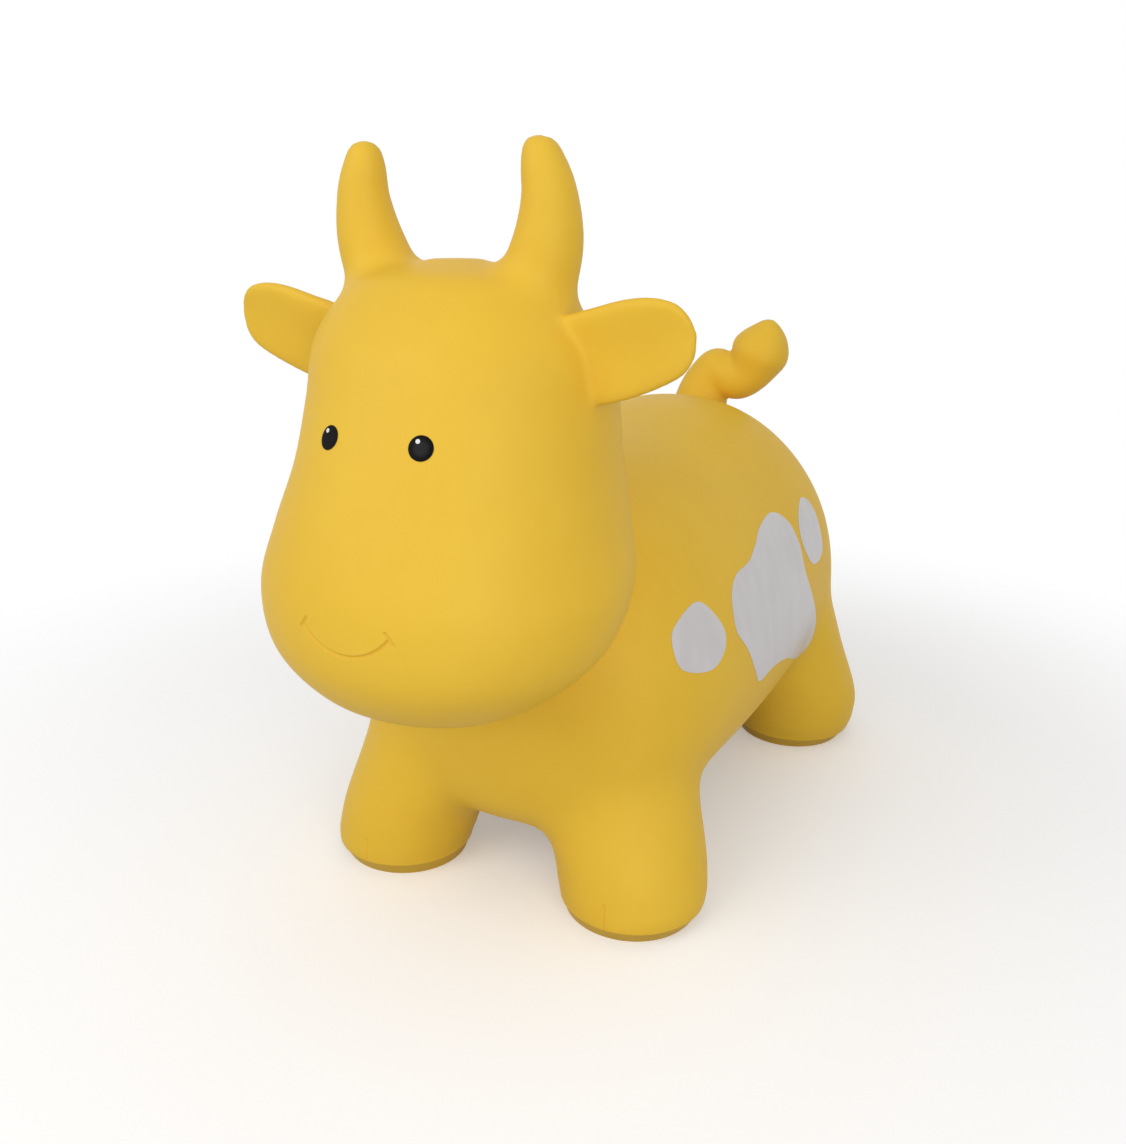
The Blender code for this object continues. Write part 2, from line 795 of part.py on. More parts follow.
def eyes(outer, tree):
    pieces = []
    for side, word in ((1, "left"), (-1, "right")):
        direction = Vector((
            side * math.sin(EYE_TURN) * math.cos(EYE_TILT),
            -math.cos(EYE_TURN) * math.cos(EYE_TILT),
            math.sin(EYE_TILT),
        ))
        spot = face_spot(tree, side * EYE_X, EYE_Z)
        cutter = disc_prism(spot, direction, EYE_RADIUS, EYE_SIDES)
        pieces.append(film("eye_" + word, outer, cutter, FIT_GAP))
        spot = face_spot(tree, side * EYE_X + HIGHLIGHT_X, EYE_Z + HIGHLIGHT_Z)
        cutter = disc_prism(spot, direction, HIGHLIGHT_RADIUS, HIGHLIGHT_SIDES)
        pieces.append(film("eye_highlight_" + word, outer, cutter, 2 * FIT_GAP + FILM))
    return pieces


def patches(outer):
    front = (FRONT_PATCH_Y, FRONT_PATCH_Z, FRONT_PATCH_LENGTH, FRONT_PATCH_HEIGHT)
    middle = (MIDDLE_PATCH_Y, MIDDLE_PATCH_Z, MIDDLE_PATCH_LENGTH, MIDDLE_PATCH_HEIGHT)
    rear = (REAR_PATCH_Y, REAR_PATCH_Z, REAR_PATCH_LENGTH, REAR_PATCH_HEIGHT)
    layout = (
        ("front", front, FRONT_PATCH_SHARES),
        ("middle", middle, MIDDLE_PATCH_SHARES),
        ("rear", rear, REAR_PATCH_SHARES),
    )
    pieces = []
    for side, word in ((1, "left"), (-1, "right")):
        start_x = side * BODY_WIDTH / 4
        for place, (centre_y, centre_z, length, height), shares in layout:
            outline = []
            for along, up in smooth_loop(shares):
                outline.append(Vector((start_x, centre_y + along * length, centre_z + up * height)))
            cutter = prism(outline, X_AXIS * (side * BODY_WIDTH / 2))
            pieces.append(film("patch_%s_%s" % (word, place), outer, cutter, FIT_GAP))
    return pieces


def groove_cutter(points):
    """A thin tube along the points, to cut a groove."""
    curve = bpy.data.curves.new("groove", "CURVE")
    curve.dimensions = "3D"
    curve.bevel_depth = GROOVE_RADIUS
    curve.bevel_resolution = 1
    curve.use_fill_caps = True
    line = curve.splines.new("POLY")
    line.points.add(len(points) - 1)
    for target, point in zip(line.points, points):
        target.co = (*point, 1)
    thing = add_object("groove", curve)
    bake = evaluated_mesh(thing)
    bpy.data.objects.remove(thing, do_unlink=True)
    return add_object("groove", bake)


def cut_smile(skin, tree):
    """Press the mouth's line into the muzzle."""
    lift = -Y_AXIS * (GROOVE_RADIUS - GROOVE_DEPTH)
    reach = math.asin(SMILE_HALF_WIDTH / SMILE_RADIUS)
    points = []
    for k in range(SMILE_POINTS):
        angle = reach * (2 * k / (SMILE_POINTS - 1) - 1)
        x = SMILE_RADIUS * math.sin(angle)
        z = SMILE_LOW_Z + SMILE_RADIUS * (1 - math.cos(angle))
        points.append(face_spot(tree, x, z) + lift)
    apply_boolean(skin, groove_cutter(points), "DIFFERENCE")
    end_z = SMILE_LOW_Z + SMILE_RADIUS * (1 - math.cos(reach))
    for side in (-1, 1):
        ends = []
        for way in (-1, 1):
            step = way * TICK_HALF_LENGTH
            x = side * SMILE_HALF_WIDTH + step * math.cos(reach)
            z = end_z - side * step * math.sin(reach)
            ends.append(face_spot(tree, x, z) + lift)
        apply_boolean(skin, groove_cutter(ends), "DIFFERENCE")


def paint(thing, name, colour, roughness):
    material = bpy.data.materials.get(name) or bpy.data.materials.new(name)
    material.use_nodes = True
    shader = material.node_tree.nodes["Principled BSDF"]
    shader.inputs["Base Color"].default_value = (*colour, 1)
    shader.inputs["Roughness"].default_value = roughness
    shader.inputs["Metallic"].default_value = 0
    thing.data.materials.clear()
    thing.data.materials.append(material)
    thing.data.shade_smooth()
    thing.data.set_sharp_from_angle(angle=SHARP_ANGLE)


def main():
    clear_scene()
    skin = merged_skin(skin_forms())
    reduce = skin.modifiers.new("reduce", "DECIMATE")
    reduce.ratio = SKIN_TRIANGLES / (2 * len(skin.data.polygons))
    bake_modifiers(skin)
    cut_soles(skin)

    outer = skin.data.copy()
    tree = surface_tree(outer)
    eye_films = eyes(outer, tree)
    patch_films = patches(outer)

    hollowed(skin)
    cut_smile(skin, tree)
    cut_valve_seat(skin, tree)
    collar = valve_collar(tree)
    stopper = valve_stopper(tree)

    paint(skin, "yellow_vinyl", SKIN_COLOUR, SKIN_ROUGHNESS)
    paint(collar, "valve_plastic", VALVE_COLOUR, VALVE_ROUGHNESS)
    paint(stopper, "stopper_plastic", VALVE_COLOUR, VALVE_ROUGHNESS)
    for piece in eye_films:
        if "highlight" in piece.name:
            paint(piece, "highlight_print", HIGHLIGHT_COLOUR, PRINT_ROUGHNESS)
        else:
            paint(piece, "eye_print", EYE_COLOUR, EYE_ROUGHNESS)
    for piece in patch_films:
        paint(piece, "patch_print", PATCH_COLOUR, PRINT_ROUGHNESS)


main()
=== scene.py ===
"""Looks of the inflatable bouncing cow: its blown vinyl skin, printed marks and belly valve.

Metres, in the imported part's frame. The cow faces -Y, its left side is at +X and it stands on z = 0.
"""

import math

import bmesh
import bpy
import numpy as np
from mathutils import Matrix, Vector
from mathutils.bvhtree import BVHTree


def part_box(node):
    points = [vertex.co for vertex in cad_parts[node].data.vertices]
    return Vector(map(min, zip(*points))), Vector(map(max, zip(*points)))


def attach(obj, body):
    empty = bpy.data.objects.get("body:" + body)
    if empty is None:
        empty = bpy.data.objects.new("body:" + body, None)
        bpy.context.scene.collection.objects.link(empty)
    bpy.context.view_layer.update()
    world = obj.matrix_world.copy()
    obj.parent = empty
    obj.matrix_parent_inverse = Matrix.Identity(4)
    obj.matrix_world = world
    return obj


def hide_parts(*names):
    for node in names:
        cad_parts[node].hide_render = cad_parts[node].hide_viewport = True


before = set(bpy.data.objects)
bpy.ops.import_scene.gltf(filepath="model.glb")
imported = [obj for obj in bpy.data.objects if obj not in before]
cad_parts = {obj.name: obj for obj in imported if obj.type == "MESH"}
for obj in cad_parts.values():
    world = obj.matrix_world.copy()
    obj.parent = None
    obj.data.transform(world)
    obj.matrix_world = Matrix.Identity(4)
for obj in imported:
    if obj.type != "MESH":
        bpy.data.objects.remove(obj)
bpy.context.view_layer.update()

X_AXIS = Vector((1, 0, 0))
Y_AXIS = Vector((0, 1, 0))
Z_AXIS = Vector((0, 0, 1))
SIDES = ((1, "left"), (-1, "right"))

# Body: a long egg along Y, wider below than above
BODY_FRONT_Y = -0.166
BODY_LENGTH = 0.462
BODY_BOTTOM_Z = 0.043
BODY_HEIGHT = 0.275
BODY_WIDTH = 0.298
BODY_EGG_SHARE = 0.14
BODY_POWER = 2.25
BODY_REAR_Y = BODY_FRONT_Y + BODY_LENGTH
# each row: place along the length, underside, back line, width
BODY_SHARES = (
    (0.00, 0.29, 0.46, 0.15),
    (0.03, 0.11, 0.68, 0.54),
    (0.09, 0.03, 0.83, 0.80),
    (0.20, 0.00, 0.92, 0.93),
    (0.35, 0.00, 0.96, 0.98),
    (0.53, 0.00, 0.98, 1.00),
    (0.71, 0.00, 1.01, 1.00),
    (0.83, 0.01, 0.99, 0.98),
    (0.92, 0.05, 0.87, 0.90),
    (0.98, 0.17, 0.69, 0.68),
    (1.00, 0.34, 0.53, 0.18),
)

# Neck: fills the corner between the head and the back
NECK_FRONT_Y = -0.190
NECK_LENGTH = 0.140
NECK_BOTTOM_Z = 0.240
NECK_HEIGHT = 0.110
NECK_WIDTH = 0.150
# each row: height, front, back, width
NECK_SHARES = (
    (0.00, 0.20, 1.00, 0.90),
    (0.45, 0.05, 0.93, 1.00),
    (1.00, 0.00, 0.72, 0.90),
)

# Head: a tall pear with full cheeks at its lower end
HEAD_FRONT_Y = -0.2957
HEAD_DEPTH = 0.220
HEAD_BOTTOM_Z = 0.176
HEAD_HEIGHT = 0.278
HEAD_WIDTH = 0.232
HEAD_POWER = 2.1
# each row: height, front, back, width
HEAD_SHARES = (
    (0.00, 0.37, 0.47, 0.10),
    (0.04, 0.21, 0.65, 0.46),
    (0.09, 0.09, 0.78, 0.70),
    (0.19, 0.01, 0.88, 0.94),
    (0.32, 0.00, 0.97, 1.02),
    (0.45, 0.04, 1.02, 0.945),
    (0.58, 0.11, 1.03, 0.86),
    (0.71, 0.18, 1.00, 0.83),
    (0.83, 0.24, 0.90, 0.79),
    (0.92, 0.32, 0.79, 0.64),
    (0.97, 0.39, 0.70, 0.48),
    (1.00, 0.52, 0.63, 0.13),
)

# Legs: short round stumps that spread into the body
LEG_HEIGHT = 0.140
FRONT_FOOT_X = 0.0980
FRONT_FOOT_Y = -0.1125
FRONT_FOOT_STAGGER = 0.0045
FRONT_FOOT_RADIUS = 0.0555
REAR_FOOT_X = 0.1210
REAR_FOOT_INSET = 0.073
REAR_FOOT_Y = BODY_REAR_Y - REAR_FOOT_INSET
REAR_FOOT_RADIUS = 0.0550
# each row: height, step towards the middle of the body in X and in Y in foot radii, half width, half depth
FRONT_LEG_SHARES = (
    (-0.10, 0.07, -0.06, 0.60, 0.58),
    (-0.04, 0.05, -0.05, 0.83, 0.79),
    (0.00, 0.04, -0.04, 0.88, 0.84),
    (0.05, 0.02, -0.03, 0.935, 0.905),
    (0.10, 0.02, -0.01, 0.97, 0.95),
    (0.16, 0.05, 0.03, 0.99, 0.98),
    (0.33, 0.16, 0.13, 1.02, 1.03),
    (0.67, 0.53, 0.35, 1.16, 1.10),
    (1.00, 0.84, 0.60, 1.28, 1.28),
)
REAR_LEG_SHARES = (
    (-0.10, 0.08, 0.00, 0.60, 0.60),
    (-0.04, 0.07, 0.00, 0.84, 0.84),
    (0.00, 0.05, 0.00, 0.88, 0.88),
    (0.05, 0.02, 0.00, 0.94, 0.94),
    (0.10, 0.00, 0.00, 0.985, 0.98),
    (0.17, 0.00, 0.01, 1.03, 1.02),
    (0.33, 0.05, 0.04, 1.08, 1.06),
    (0.67, 0.28, 0.24, 1.08, 1.05),
    (1.00, 0.52, 0.50, 1.12, 1.12),
    (1.25, 0.80, 0.80, 1.05, 1.10),
)

# Horns: curved cones, closer together at the tip than halfway up
HORN_SPREAD = 0.0645
HORN_Y = -0.1735
HORN_BOTTOM_Z = 0.420
HORN_HEIGHT = 0.1000
HORN_RADIUS = 0.0265
# each row: height, distance from the middle in spreads, step forward in radii, radius
HORN_SHARES = (
    (0.00, 0.67, -0.20, 0.95),
    (0.21, 0.83, -0.20, 0.86),
    (0.45, 0.96, -0.15, 0.76),
    (0.68, 0.99, -0.08, 0.61),
    (0.86, 0.94, -0.02, 0.48),
    (0.96, 0.90, 0.02, 0.33),
    (1.00, 0.89, 0.02, 0.10),
)

# Ears: leaves that stand out sideways, dished on the front face
EAR_ROOT_X = 0.074
EAR_TIP_X = 0.1575
EAR_Y = -0.179
EAR_Z = 0.4020
EAR_HEIGHT = 0.0525
EAR_THICKNESS = 0.027
EAR_RISE = 0.020
EAR_SWEEP = 0.005
EAR_FACING = (0.25, -1.0, -0.12)
EAR_DISH_SHARE = 0.75
# each row: way from root to tip, rise, sweep forward, half height, half thickness
EAR_SHARES = (
    (0.00, -0.20, 0.00, 0.98, 1.00),
    (0.32, 0.10, 0.30, 1.03, 0.95),
    (0.62, 0.50, 0.65, 0.98, 0.85),
    (0.84, 0.74, 0.90, 0.80, 0.70),
    (0.95, 0.84, 1.00, 0.50, 0.45),
    (1.00, 0.88, 1.00, 0.08, 0.10),
)

# Tail: rises from the rump, folds over to the cow's left and ends in a pointed tuft
TAIL_INSET = 0.038
TAIL_Y = BODY_REAR_Y - TAIL_INSET
TAIL_ROOT_Z = 0.265
TAIL_RISE = 0.119
TAIL_REACH = 0.066
TAIL_RADIUS = 0.024
# each row: reach to the left, rise, step back in radii, radius
TAIL_SHARES = (
    (0.00, -0.32, -1.90, 0.90),
    (0.00, -0.06, -1.10, 1.04),
    (-0.03, 0.18, -0.30, 1.10),
    (0.03, 0.42, 0.00, 1.00),
    (0.19, 0.60, 0.00, 0.79),
    (0.32, 0.58, 0.00, 0.83),
    (0.52, 0.54, 0.00, 0.83),
    (0.70, 0.61, 0.05, 0.90),
    (0.83, 0.75, 0.10, 1.12),
    (0.91, 0.86, 0.10, 0.92),
    (0.97, 0.96, 0.10, 0.46),
    (1.00, 1.00, 0.10, 0.12),
)

# How far each form blends into what carries it
NECK_BLEND = 0.030
HEAD_BLEND = 0.014
FRONT_LEG_BLEND = 0.075
REAR_LEG_BLEND = 0.070
HORN_BLEND = 0.012
EAR_BLEND = 0.004
TAIL_BLEND = 0.010

# Size of the cells that merge the forms, then how the merged surface is smoothed
GRAIN = 0.0028
SMOOTHING_REACH = 0.038
SMOOTHING_STEP_SHARE = 0.5
EVEN_SMOOTHING_SHARE = 0.03
# the feet keep their shape up to this height, and the full smoothing comes in above it
FOOT_PLAIN_HEIGHT = 0.012
FOOT_EASE = 0.030
FINISHING_ROUNDS = 3
HOLD_SHARE = 0.60
RELAX_SHARE = 0.10
FILLET_STEPS = 4
FILLET_LEAST_SLOPE = 0.25
TOUCHING_SHARE = 0.01
# these forms meet their carriers in a hollow fillet
FILLETED = ("horn", "ear", "tail")

# Points round each kind of section, and steps from one row of a table to the next
SECTION_POINTS = 120
TUBE_POINTS = 48
EAR_POINTS = 80
ROW_STEPS = 12

# Valve: a flanged collar in the belly and the stopper that plugs it
VALVE_SIDES = 64
FIT_GAP = 0.0003
BORE_DEPTH = 0.030
COLLAR_FLANGE_THICKNESS = 0.0014
COLLAR_SLEEVE_RADIUS = 0.0055
COLLAR_BEAD_HEIGHT = 0.0016
STOPPER_HEAD_THICKNESS = 0.0020
STOPPER_SHANK_RADIUS = 0.0032
STOPPER_NOSE = 0.0010
STOPPER_RIB_HEIGHT = 0.0003
STOPPER_RIBS = 3
GRIP_LENGTH = 0.0090
GRIP_THICKNESS = 0.0024
EDGE_ROUND = 0.0004
EDGE_STEPS = 4
RIB_STEPS = 4

# Printed marks: thin films that follow the skin
PRINT_LIFT = 0.00012
PRINT_THICKNESS = 0.00018
PRINT_REACH = 0.012
EYE_X = 0.0310
EYE_Z = 0.3600
EYE_RADIUS = 0.0072
EYE_TURN = math.radians(15)
EYE_TILT = math.radians(22)
EYE_SIDES = 72
HIGHLIGHT_RADIUS = 0.0013
HIGHLIGHT_X = -0.0022
HIGHLIGHT_Z = 0.0034
HIGHLIGHT_SIDES = 32

# Patches: outlines in shares of their size, the same on both flanks
PATCH_STEPS = 10
FRONT_PATCH_SHARES = (
    (0.21, 0.49), (0.00, 0.50), (-0.34, 0.33), (-0.48, 0.14), (-0.49, -0.21), (-0.33, -0.38),
    (0.04, -0.49), (0.29, -0.42), (0.46, -0.25), (0.50, -0.02), (0.38, 0.27),
)
MIDDLE_PATCH_SHARES = (
    (0.15, 0.50), (-0.02, 0.47), (-0.12, 0.42), (-0.24, 0.37), (-0.38, 0.35), (-0.47, 0.27),
    (-0.50, 0.12), (-0.43, -0.01), (-0.37, -0.15), (-0.31, -0.25), (-0.15, -0.25), (0.02, -0.29),
    (0.22, -0.40), (0.41, -0.50), (0.49, -0.44), (0.50, -0.28), (0.40, -0.09), (0.31, 0.11),
    (0.30, 0.28), (0.26, 0.42),
)
REAR_PATCH_SHARES = (
    (0.16, 0.50), (-0.07, 0.46), (-0.38, 0.26), (-0.50, -0.04), (-0.34, -0.35), (-0.10, -0.50),
    (0.28, -0.50), (0.48, -0.33), (0.49, 0.13), (0.38, 0.37),
)
# each row: name, middle along Y and Z, length, height, outline
PATCHES = (
    ("front", -0.076, 0.2015, 0.056, 0.046, FRONT_PATCH_SHARES),
    ("middle", 0.066, 0.177, 0.194, 0.144, MIDDLE_PATCH_SHARES),
    ("rear", 0.160, 0.218, 0.056, 0.054, REAR_PATCH_SHARES),
)

# Smile: a line pressed into the muzzle along an arc, with a short tick across each end
SMILE_RADIUS = 0.038
SMILE_HALF_WIDTH = 0.0298
SMILE_LOW_Z = 0.2472
SMILE_POINTS = 33
TICK_HALF_LENGTH = 0.0040
SMILE_LINE_HALF_WIDTH = 0.0013
SMILE_LINE_DEPTH = 0.0010
# how far round a pressed line the skin is looked at and rounded, in cells, and how it is split there
LINE_SEARCH_CELLS = 5
LINE_ROUNDING_CELLS = 4
LINE_ROUNDING_LEVELS = 2
LINE_CUTS = (2, 2)
LINE_MARGIN = 1.6

# Mould marks: an edge round each foot with a slope from it to the sole, and a short upright seam
RIM_Z = 0.0088
RIM_HALF_WIDTH = 0.0004
RIM_DEPTH = 0.0006
RIM_SLOPE = 0.0004
RIM_REACH = 0.0050
RIM_LIP = 0.0005
RIM_CUTS = 3
FOOT_SEARCH_SHARE = 1.5
SEAM_HEIGHT = 0.020
SEAM_STEPS = 6
SEAM_HALF_WIDTH = 0.0013
SEAM_DEPTH = 0.0008

# Camera, fitted to the photograph
CAMERA_PLACE = Vector((0.3595, -0.7217, 0.4823))
CAMERA_AZIMUTH = math.radians(27.57)
CAMERA_DROP = math.radians(18.85)
PHOTO_HEIGHT_PX = 1144
FOCAL_PX = 1066
SENSOR = 36
CAMERA_NEAR = 0.01

# Light: a large softbox from each side of the camera, and white all round
LIGHT_TARGET = (0.0, -0.05, 0.25)
KEY_PLACE = (-0.75, -1.60, 1.20)
KEY_WIDTH = 1.4
KEY_HEIGHT = 1.0
KEY_POWER = 9.8
FILL_PLACE = (1.25, -1.42, 0.62)
FILL_WIDTH = 1.2
FILL_HEIGHT = 1.2
FILL_POWER = 10.0
WORLD_LIGHT = 0.58

# Finishes: colours as they look in plain light, roughness and what varies over a surface
SOFT_CONTRAST = (0.30, 0.70)
SHARP_CONTRAST = (0.35, 0.65)
FINE_DETAIL = 3.0
PLAIN_SHINE = 0.5
VINYL_COLOUR = (0.875, 0.557, 0.052)
VINYL_DEEP_COLOUR = (0.850, 0.528, 0.045)
VINYL_ROUGHNESS = 0.48
VINYL_MOTTLE_SPREAD = 0.08
VINYL_PEBBLE_SPREAD = 0.06
VINYL_SHINE = 0.15
# painted shade in the pressed smile line
GROOVE_SHADE_COLOUR = (0.52, 0.29, 0.026)
GROOVE_SHADE_SHARE = 0.36
VINYL_CLOUD_SIZE = 0.090
VINYL_CLOUD_SHARE = 0.7
VINYL_MOTTLE_SIZE = 0.014
VINYL_PEBBLE_SIZE = 0.0032
VINYL_PEBBLE_SHARE = 0.7
VINYL_GRAIN_SIZE = 0.0009
VINYL_BUMP = 0.00006
# painted shade on the downturned band below each foot's edge, mottled
SOLE_SHADE_COLOUR = (0.56, 0.35, 0.055)
SOLE_SHADE_EDGE = 0.0008
SOLE_SHADE_LEAST = 0.4
SOLE_SHADE_SPREAD = 0.5
EYE_COLOUR = (0.003, 0.003, 0.003)
# painted reflection in the middle of each eye: grey on the near left eye, nearly black on the far right
# eye
LEFT_EYE_REFLECTION_COLOUR = (0.021, 0.021, 0.022)
RIGHT_EYE_REFLECTION_COLOUR = (0.004, 0.004, 0.004)
EYE_MIDDLE_SHARE = 0.35
EYE_RIM_SHARE = 0.85
EYE_ROUGHNESS = 0.40
EYE_SPREAD = 0.08
EYE_SHINE = 0.06
HIGHLIGHT_COLOUR = (0.88, 0.88, 0.87)
HIGHLIGHT_SHADE_COLOUR = (0.74, 0.74, 0.73)
HIGHLIGHT_ROUGHNESS = 0.40
SPECKLE_SPREAD = 0.10
PATCH_COLOUR = (0.70, 0.67, 0.675)
PATCH_SHADE_COLOUR = (0.655, 0.625, 0.63)
PATCH_ROUGHNESS = 0.35
PATCH_SPREAD = 0.14
PATCH_STREAK_WIDTH = 0.013
PATCH_STREAK_LENGTH = 0.120
PATCH_STREAK_SHARE = 0.6
PATCH_CLOUD_SIZE = 0.030
PRINT_GRAIN_SIZE = 0.0007
PRINT_BUMP = 0.00002
VALVE_COLOUR = (0.80, 0.79, 0.76)
VALVE_SHADE_COLOUR = (0.70, 0.69, 0.65)
VALVE_ROUGHNESS = 0.36
VALVE_MOTTLE_SIZE = 0.003
VALVE_BUMP = 0.00003
FLOOR_COLOUR = (0.92, 0.92, 0.92)
FLOOR_SHADE_COLOUR = (0.90, 0.90, 0.90)
FLOOR_DIM_COLOUR = (0.46, 0.46, 0.46)
FLOOR_LIFT_COLOUR = (0.24, 0.24, 0.24)
FLOOR_FADE_START = 0.40
FLOOR_FADE_END = 0.90
FLOOR_ROUGHNESS = 0.85
FLOOR_MOTTLE_SIZE = 0.30
FLOOR_SIZE = 6
FLOOR_CELLS = 4
SHARP_ANGLE = math.radians(40)


def smooth_rows(rows, steps=ROW_STEPS):
    """Rows of numbers on a smooth curve through the given rows, a Catmull-Rom curve."""
    table = np.array(rows, dtype=float)
    before = np.vstack([2 * table[0] - table[1], table[:-1]])
    after = np.vstack([table[1:], 2 * table[-1] - table[-2]])
    slopes = (after - before) / 2
    curve = []
    for i in range(len(table) - 1):
        for step in range(steps):
            t = step / steps
            curve.append(
                (2 * t**3 - 3 * t**2 + 1) * table[i]
                + (t**3 - 2 * t**2 + t) * slopes[i]
                + (3 * t**2 - 2 * t**3) * table[i + 1]
                + (t**3 - t**2) * slopes[i + 1]
            )
    curve.append(table[-1])
    return curve


def round_steps(count):
    """Cosine and sine of even steps round a circle."""
    angles = [math.tau * k / count for k in range(count)]
    return [(math.cos(angle), math.sin(angle)) for angle in angles]


def signed_power(value, power):
    return math.copysign(abs(value) ** power, value)


def ring(centre, across, along, half_across, half_along, power=2, egg=0, dish=0, points=SECTION_POINTS):
    """Points of an oval section. Egg narrows it towards +along, dish hollows its +along side."""
    outline = []
    for cosine, sine in round_steps(points):
        u = signed_power(cosine, 2 / power)
        v = signed_power(sine, 2 / power)
        u *= 1 - egg * v
        if v > 0:
            v -= dish * v * v
        outline.append(centre + across * (u * half_across) + along * (v * half_along))
    return outline


def mesh_of(shape, name):
    mesh = bpy.data.meshes.new(name)
    shape.to_mesh(mesh)
    shape.free()
    return mesh


def loft(rings):
    """A closed mesh through a stack of rings."""
    shape = bmesh.new()
    loops = [[shape.verts.new(point) for point in outline] for outline in rings]
    for low, high in zip(loops, loops[1:]):
        for k in range(len(low)):
            follow = (k + 1) % len(low)
            shape.faces.new((low[k], low[follow], high[follow], high[k]))
    shape.faces.new(loops[0][::-1])
    shape.faces.new(loops[-1])
    bmesh.ops.recalc_face_normals(shape, faces=shape.faces)
    return mesh_of(shape, "form")


def body_form():
    rings = []
    for place, under, back, width in smooth_rows(BODY_SHARES):
        low = BODY_BOTTOM_Z + under * BODY_HEIGHT
        high = BODY_BOTTOM_Z + back * BODY_HEIGHT
        centre = Vector((0, BODY_FRONT_Y + place * BODY_LENGTH, (low + high) / 2))
        rings.append(ring(
            centre,
            X_AXIS,
            Z_AXIS,
            width * BODY_WIDTH / 2,
            (high - low) / 2,
            power=BODY_POWER,
            egg=BODY_EGG_SHARE,
        ))
    return loft(rings)


def upright_form(rows, bottom, height, front, depth, width, power=2):
    """A form of level sections, each given by its height, front, back and width shares."""
    rings = []
    for level, fore, aft, wide in smooth_rows(rows):
        near = front + fore * depth
        far = front + aft * depth
        centre = Vector((0, (near + far) / 2, bottom + level * height))
        rings.append(ring(centre, X_AXIS, Y_AXIS, wide * width / 2, (far - near) / 2, power=power))
    return loft(rings)


def neck_form():
    return upright_form(NECK_SHARES, NECK_BOTTOM_Z, NECK_HEIGHT, NECK_FRONT_Y, NECK_LENGTH, NECK_WIDTH)


def head_form():
    return upright_form(
        HEAD_SHARES, HEAD_BOTTOM_Z, HEAD_HEIGHT, HEAD_FRONT_Y, HEAD_DEPTH, HEAD_WIDTH, power=HEAD_POWER
    )


def front_foot_y(side):
    """The left front foot stands a little further back than the right one."""
    return FRONT_FOOT_Y + side * FRONT_FOOT_STAGGER


def leg_form(rows, side, foot_x, foot_y, radius):
    inwards_y = math.copysign(radius, -foot_y)
    rings = []
    for level, step_x, step_y, wide, deep in smooth_rows(rows):
        centre = Vector((
            side * (foot_x - step_x * radius),
            foot_y + step_y * inwards_y,
            level * LEG_HEIGHT,
        ))
        rings.append(ring(centre, X_AXIS, Y_AXIS, wide * radius, deep * radius))
    return loft(rings)


def path_frames(places):
    """The direction of travel at each place of a path."""
    directions = []
    for i in range(len(places)):
        step = places[min(i + 1, len(places) - 1)] - places[max(i - 1, 0)]
        directions.append(step.normalized())
    return directions


def tube_form(places, radii):
    rings = []
    for place, way, radius in zip(places, path_frames(places), radii):
        across = way.cross(Y_AXIS).normalized()
        rings.append(ring(place, across, way.cross(across), radius, radius, points=TUBE_POINTS))
    return loft(rings)


def horn_form(side):
    places = []
    radii = []
    for level, spread, forward, size in smooth_rows(HORN_SHARES):
        places.append(Vector((
            side * spread * HORN_SPREAD,
            HORN_Y - forward * HORN_RADIUS,
            HORN_BOTTOM_Z + level * HORN_HEIGHT,
        )))
        radii.append(size * HORN_RADIUS)
    return tube_form(places, radii)


def tail_form():
    places = []
    radii = []
    for reach, rise, back, size in smooth_rows(TAIL_SHARES):
        places.append(Vector((
            reach * TAIL_REACH,
            TAIL_Y + back * TAIL_RADIUS,
            TAIL_ROOT_Z + rise * TAIL_RISE,
        )))
        radii.append(size * TAIL_RADIUS)
    return tube_form(places, radii)


def ear_form(side):
    places = []
    sizes = []
    for way, rise, sweep, high, thick in smooth_rows(EAR_SHARES):
        places.append(Vector((
            side * (EAR_ROOT_X + way * (EAR_TIP_X - EAR_ROOT_X)),
            EAR_Y - sweep * EAR_SWEEP,
            EAR_Z + rise * EAR_RISE,
        )))
        sizes.append((high * EAR_HEIGHT / 2, thick * EAR_THICKNESS / 2))
    facing = Vector(EAR_FACING)
    facing.x *= side
    rings = []
    for place, way, (high, thick) in zip(places, path_frames(places), sizes):
        forward = (facing - way * facing.dot(way)).normalized()
        up = forward.cross(way)
        rings.append(ring(place, up, forward, high, thick, dish=EAR_DISH_SHARE, points=EAR_POINTS))
    return loft(rings)


def skin_forms():
    """Every form of the skin, what carries it and how far the two blend."""
    forms = [("body", body_form(), None, 0), ("neck", neck_form(), "body", NECK_BLEND)]
    forms.append(("head", head_form(), "body neck", HEAD_BLEND))
    for side in (-1, 1):
        forms.append((
            "front_leg",
            leg_form(FRONT_LEG_SHARES, side, FRONT_FOOT_X, front_foot_y(side), FRONT_FOOT_RADIUS),
            "body",
            FRONT_LEG_BLEND,
        ))
        forms.append((
            "rear_leg",
            leg_form(REAR_LEG_SHARES, side, REAR_FOOT_X, REAR_FOOT_Y, REAR_FOOT_RADIUS),
            "body",
            REAR_LEG_BLEND,
        ))
        forms.append(("horn", horn_form(side), "head", HORN_BLEND))
        forms.append(("ear", ear_form(side), "head", EAR_BLEND))
    forms.append(("tail", tail_form(), "body", TAIL_BLEND))
    return forms


def surface_tree(mesh):
    return BVHTree.FromPolygons([v.co for v in mesh.vertices], [p.vertices for p in mesh.polygons])


def coordinates(mesh):
    values = np.empty(len(mesh.vertices) * 3, np.float32)
    mesh.vertices.foreach_get("co", values)
    return values.reshape(-1, 3).astype(float)


def add_object(name, data):
    thing = bpy.data.objects.new(name, data)
    bpy.context.scene.collection.objects.link(thing)
    return thing


def move_points(thing, points):
    thing.data.vertices.foreach_set("co", points.astype(np.float32).ravel())
    thing.data.update()


def bake_modifiers(thing):
    graph = bpy.context.evaluated_depsgraph_get()
    mesh = bpy.data.meshes.new_from_object(thing.evaluated_get(graph))
    thing.modifiers.clear()
    thing.data = mesh


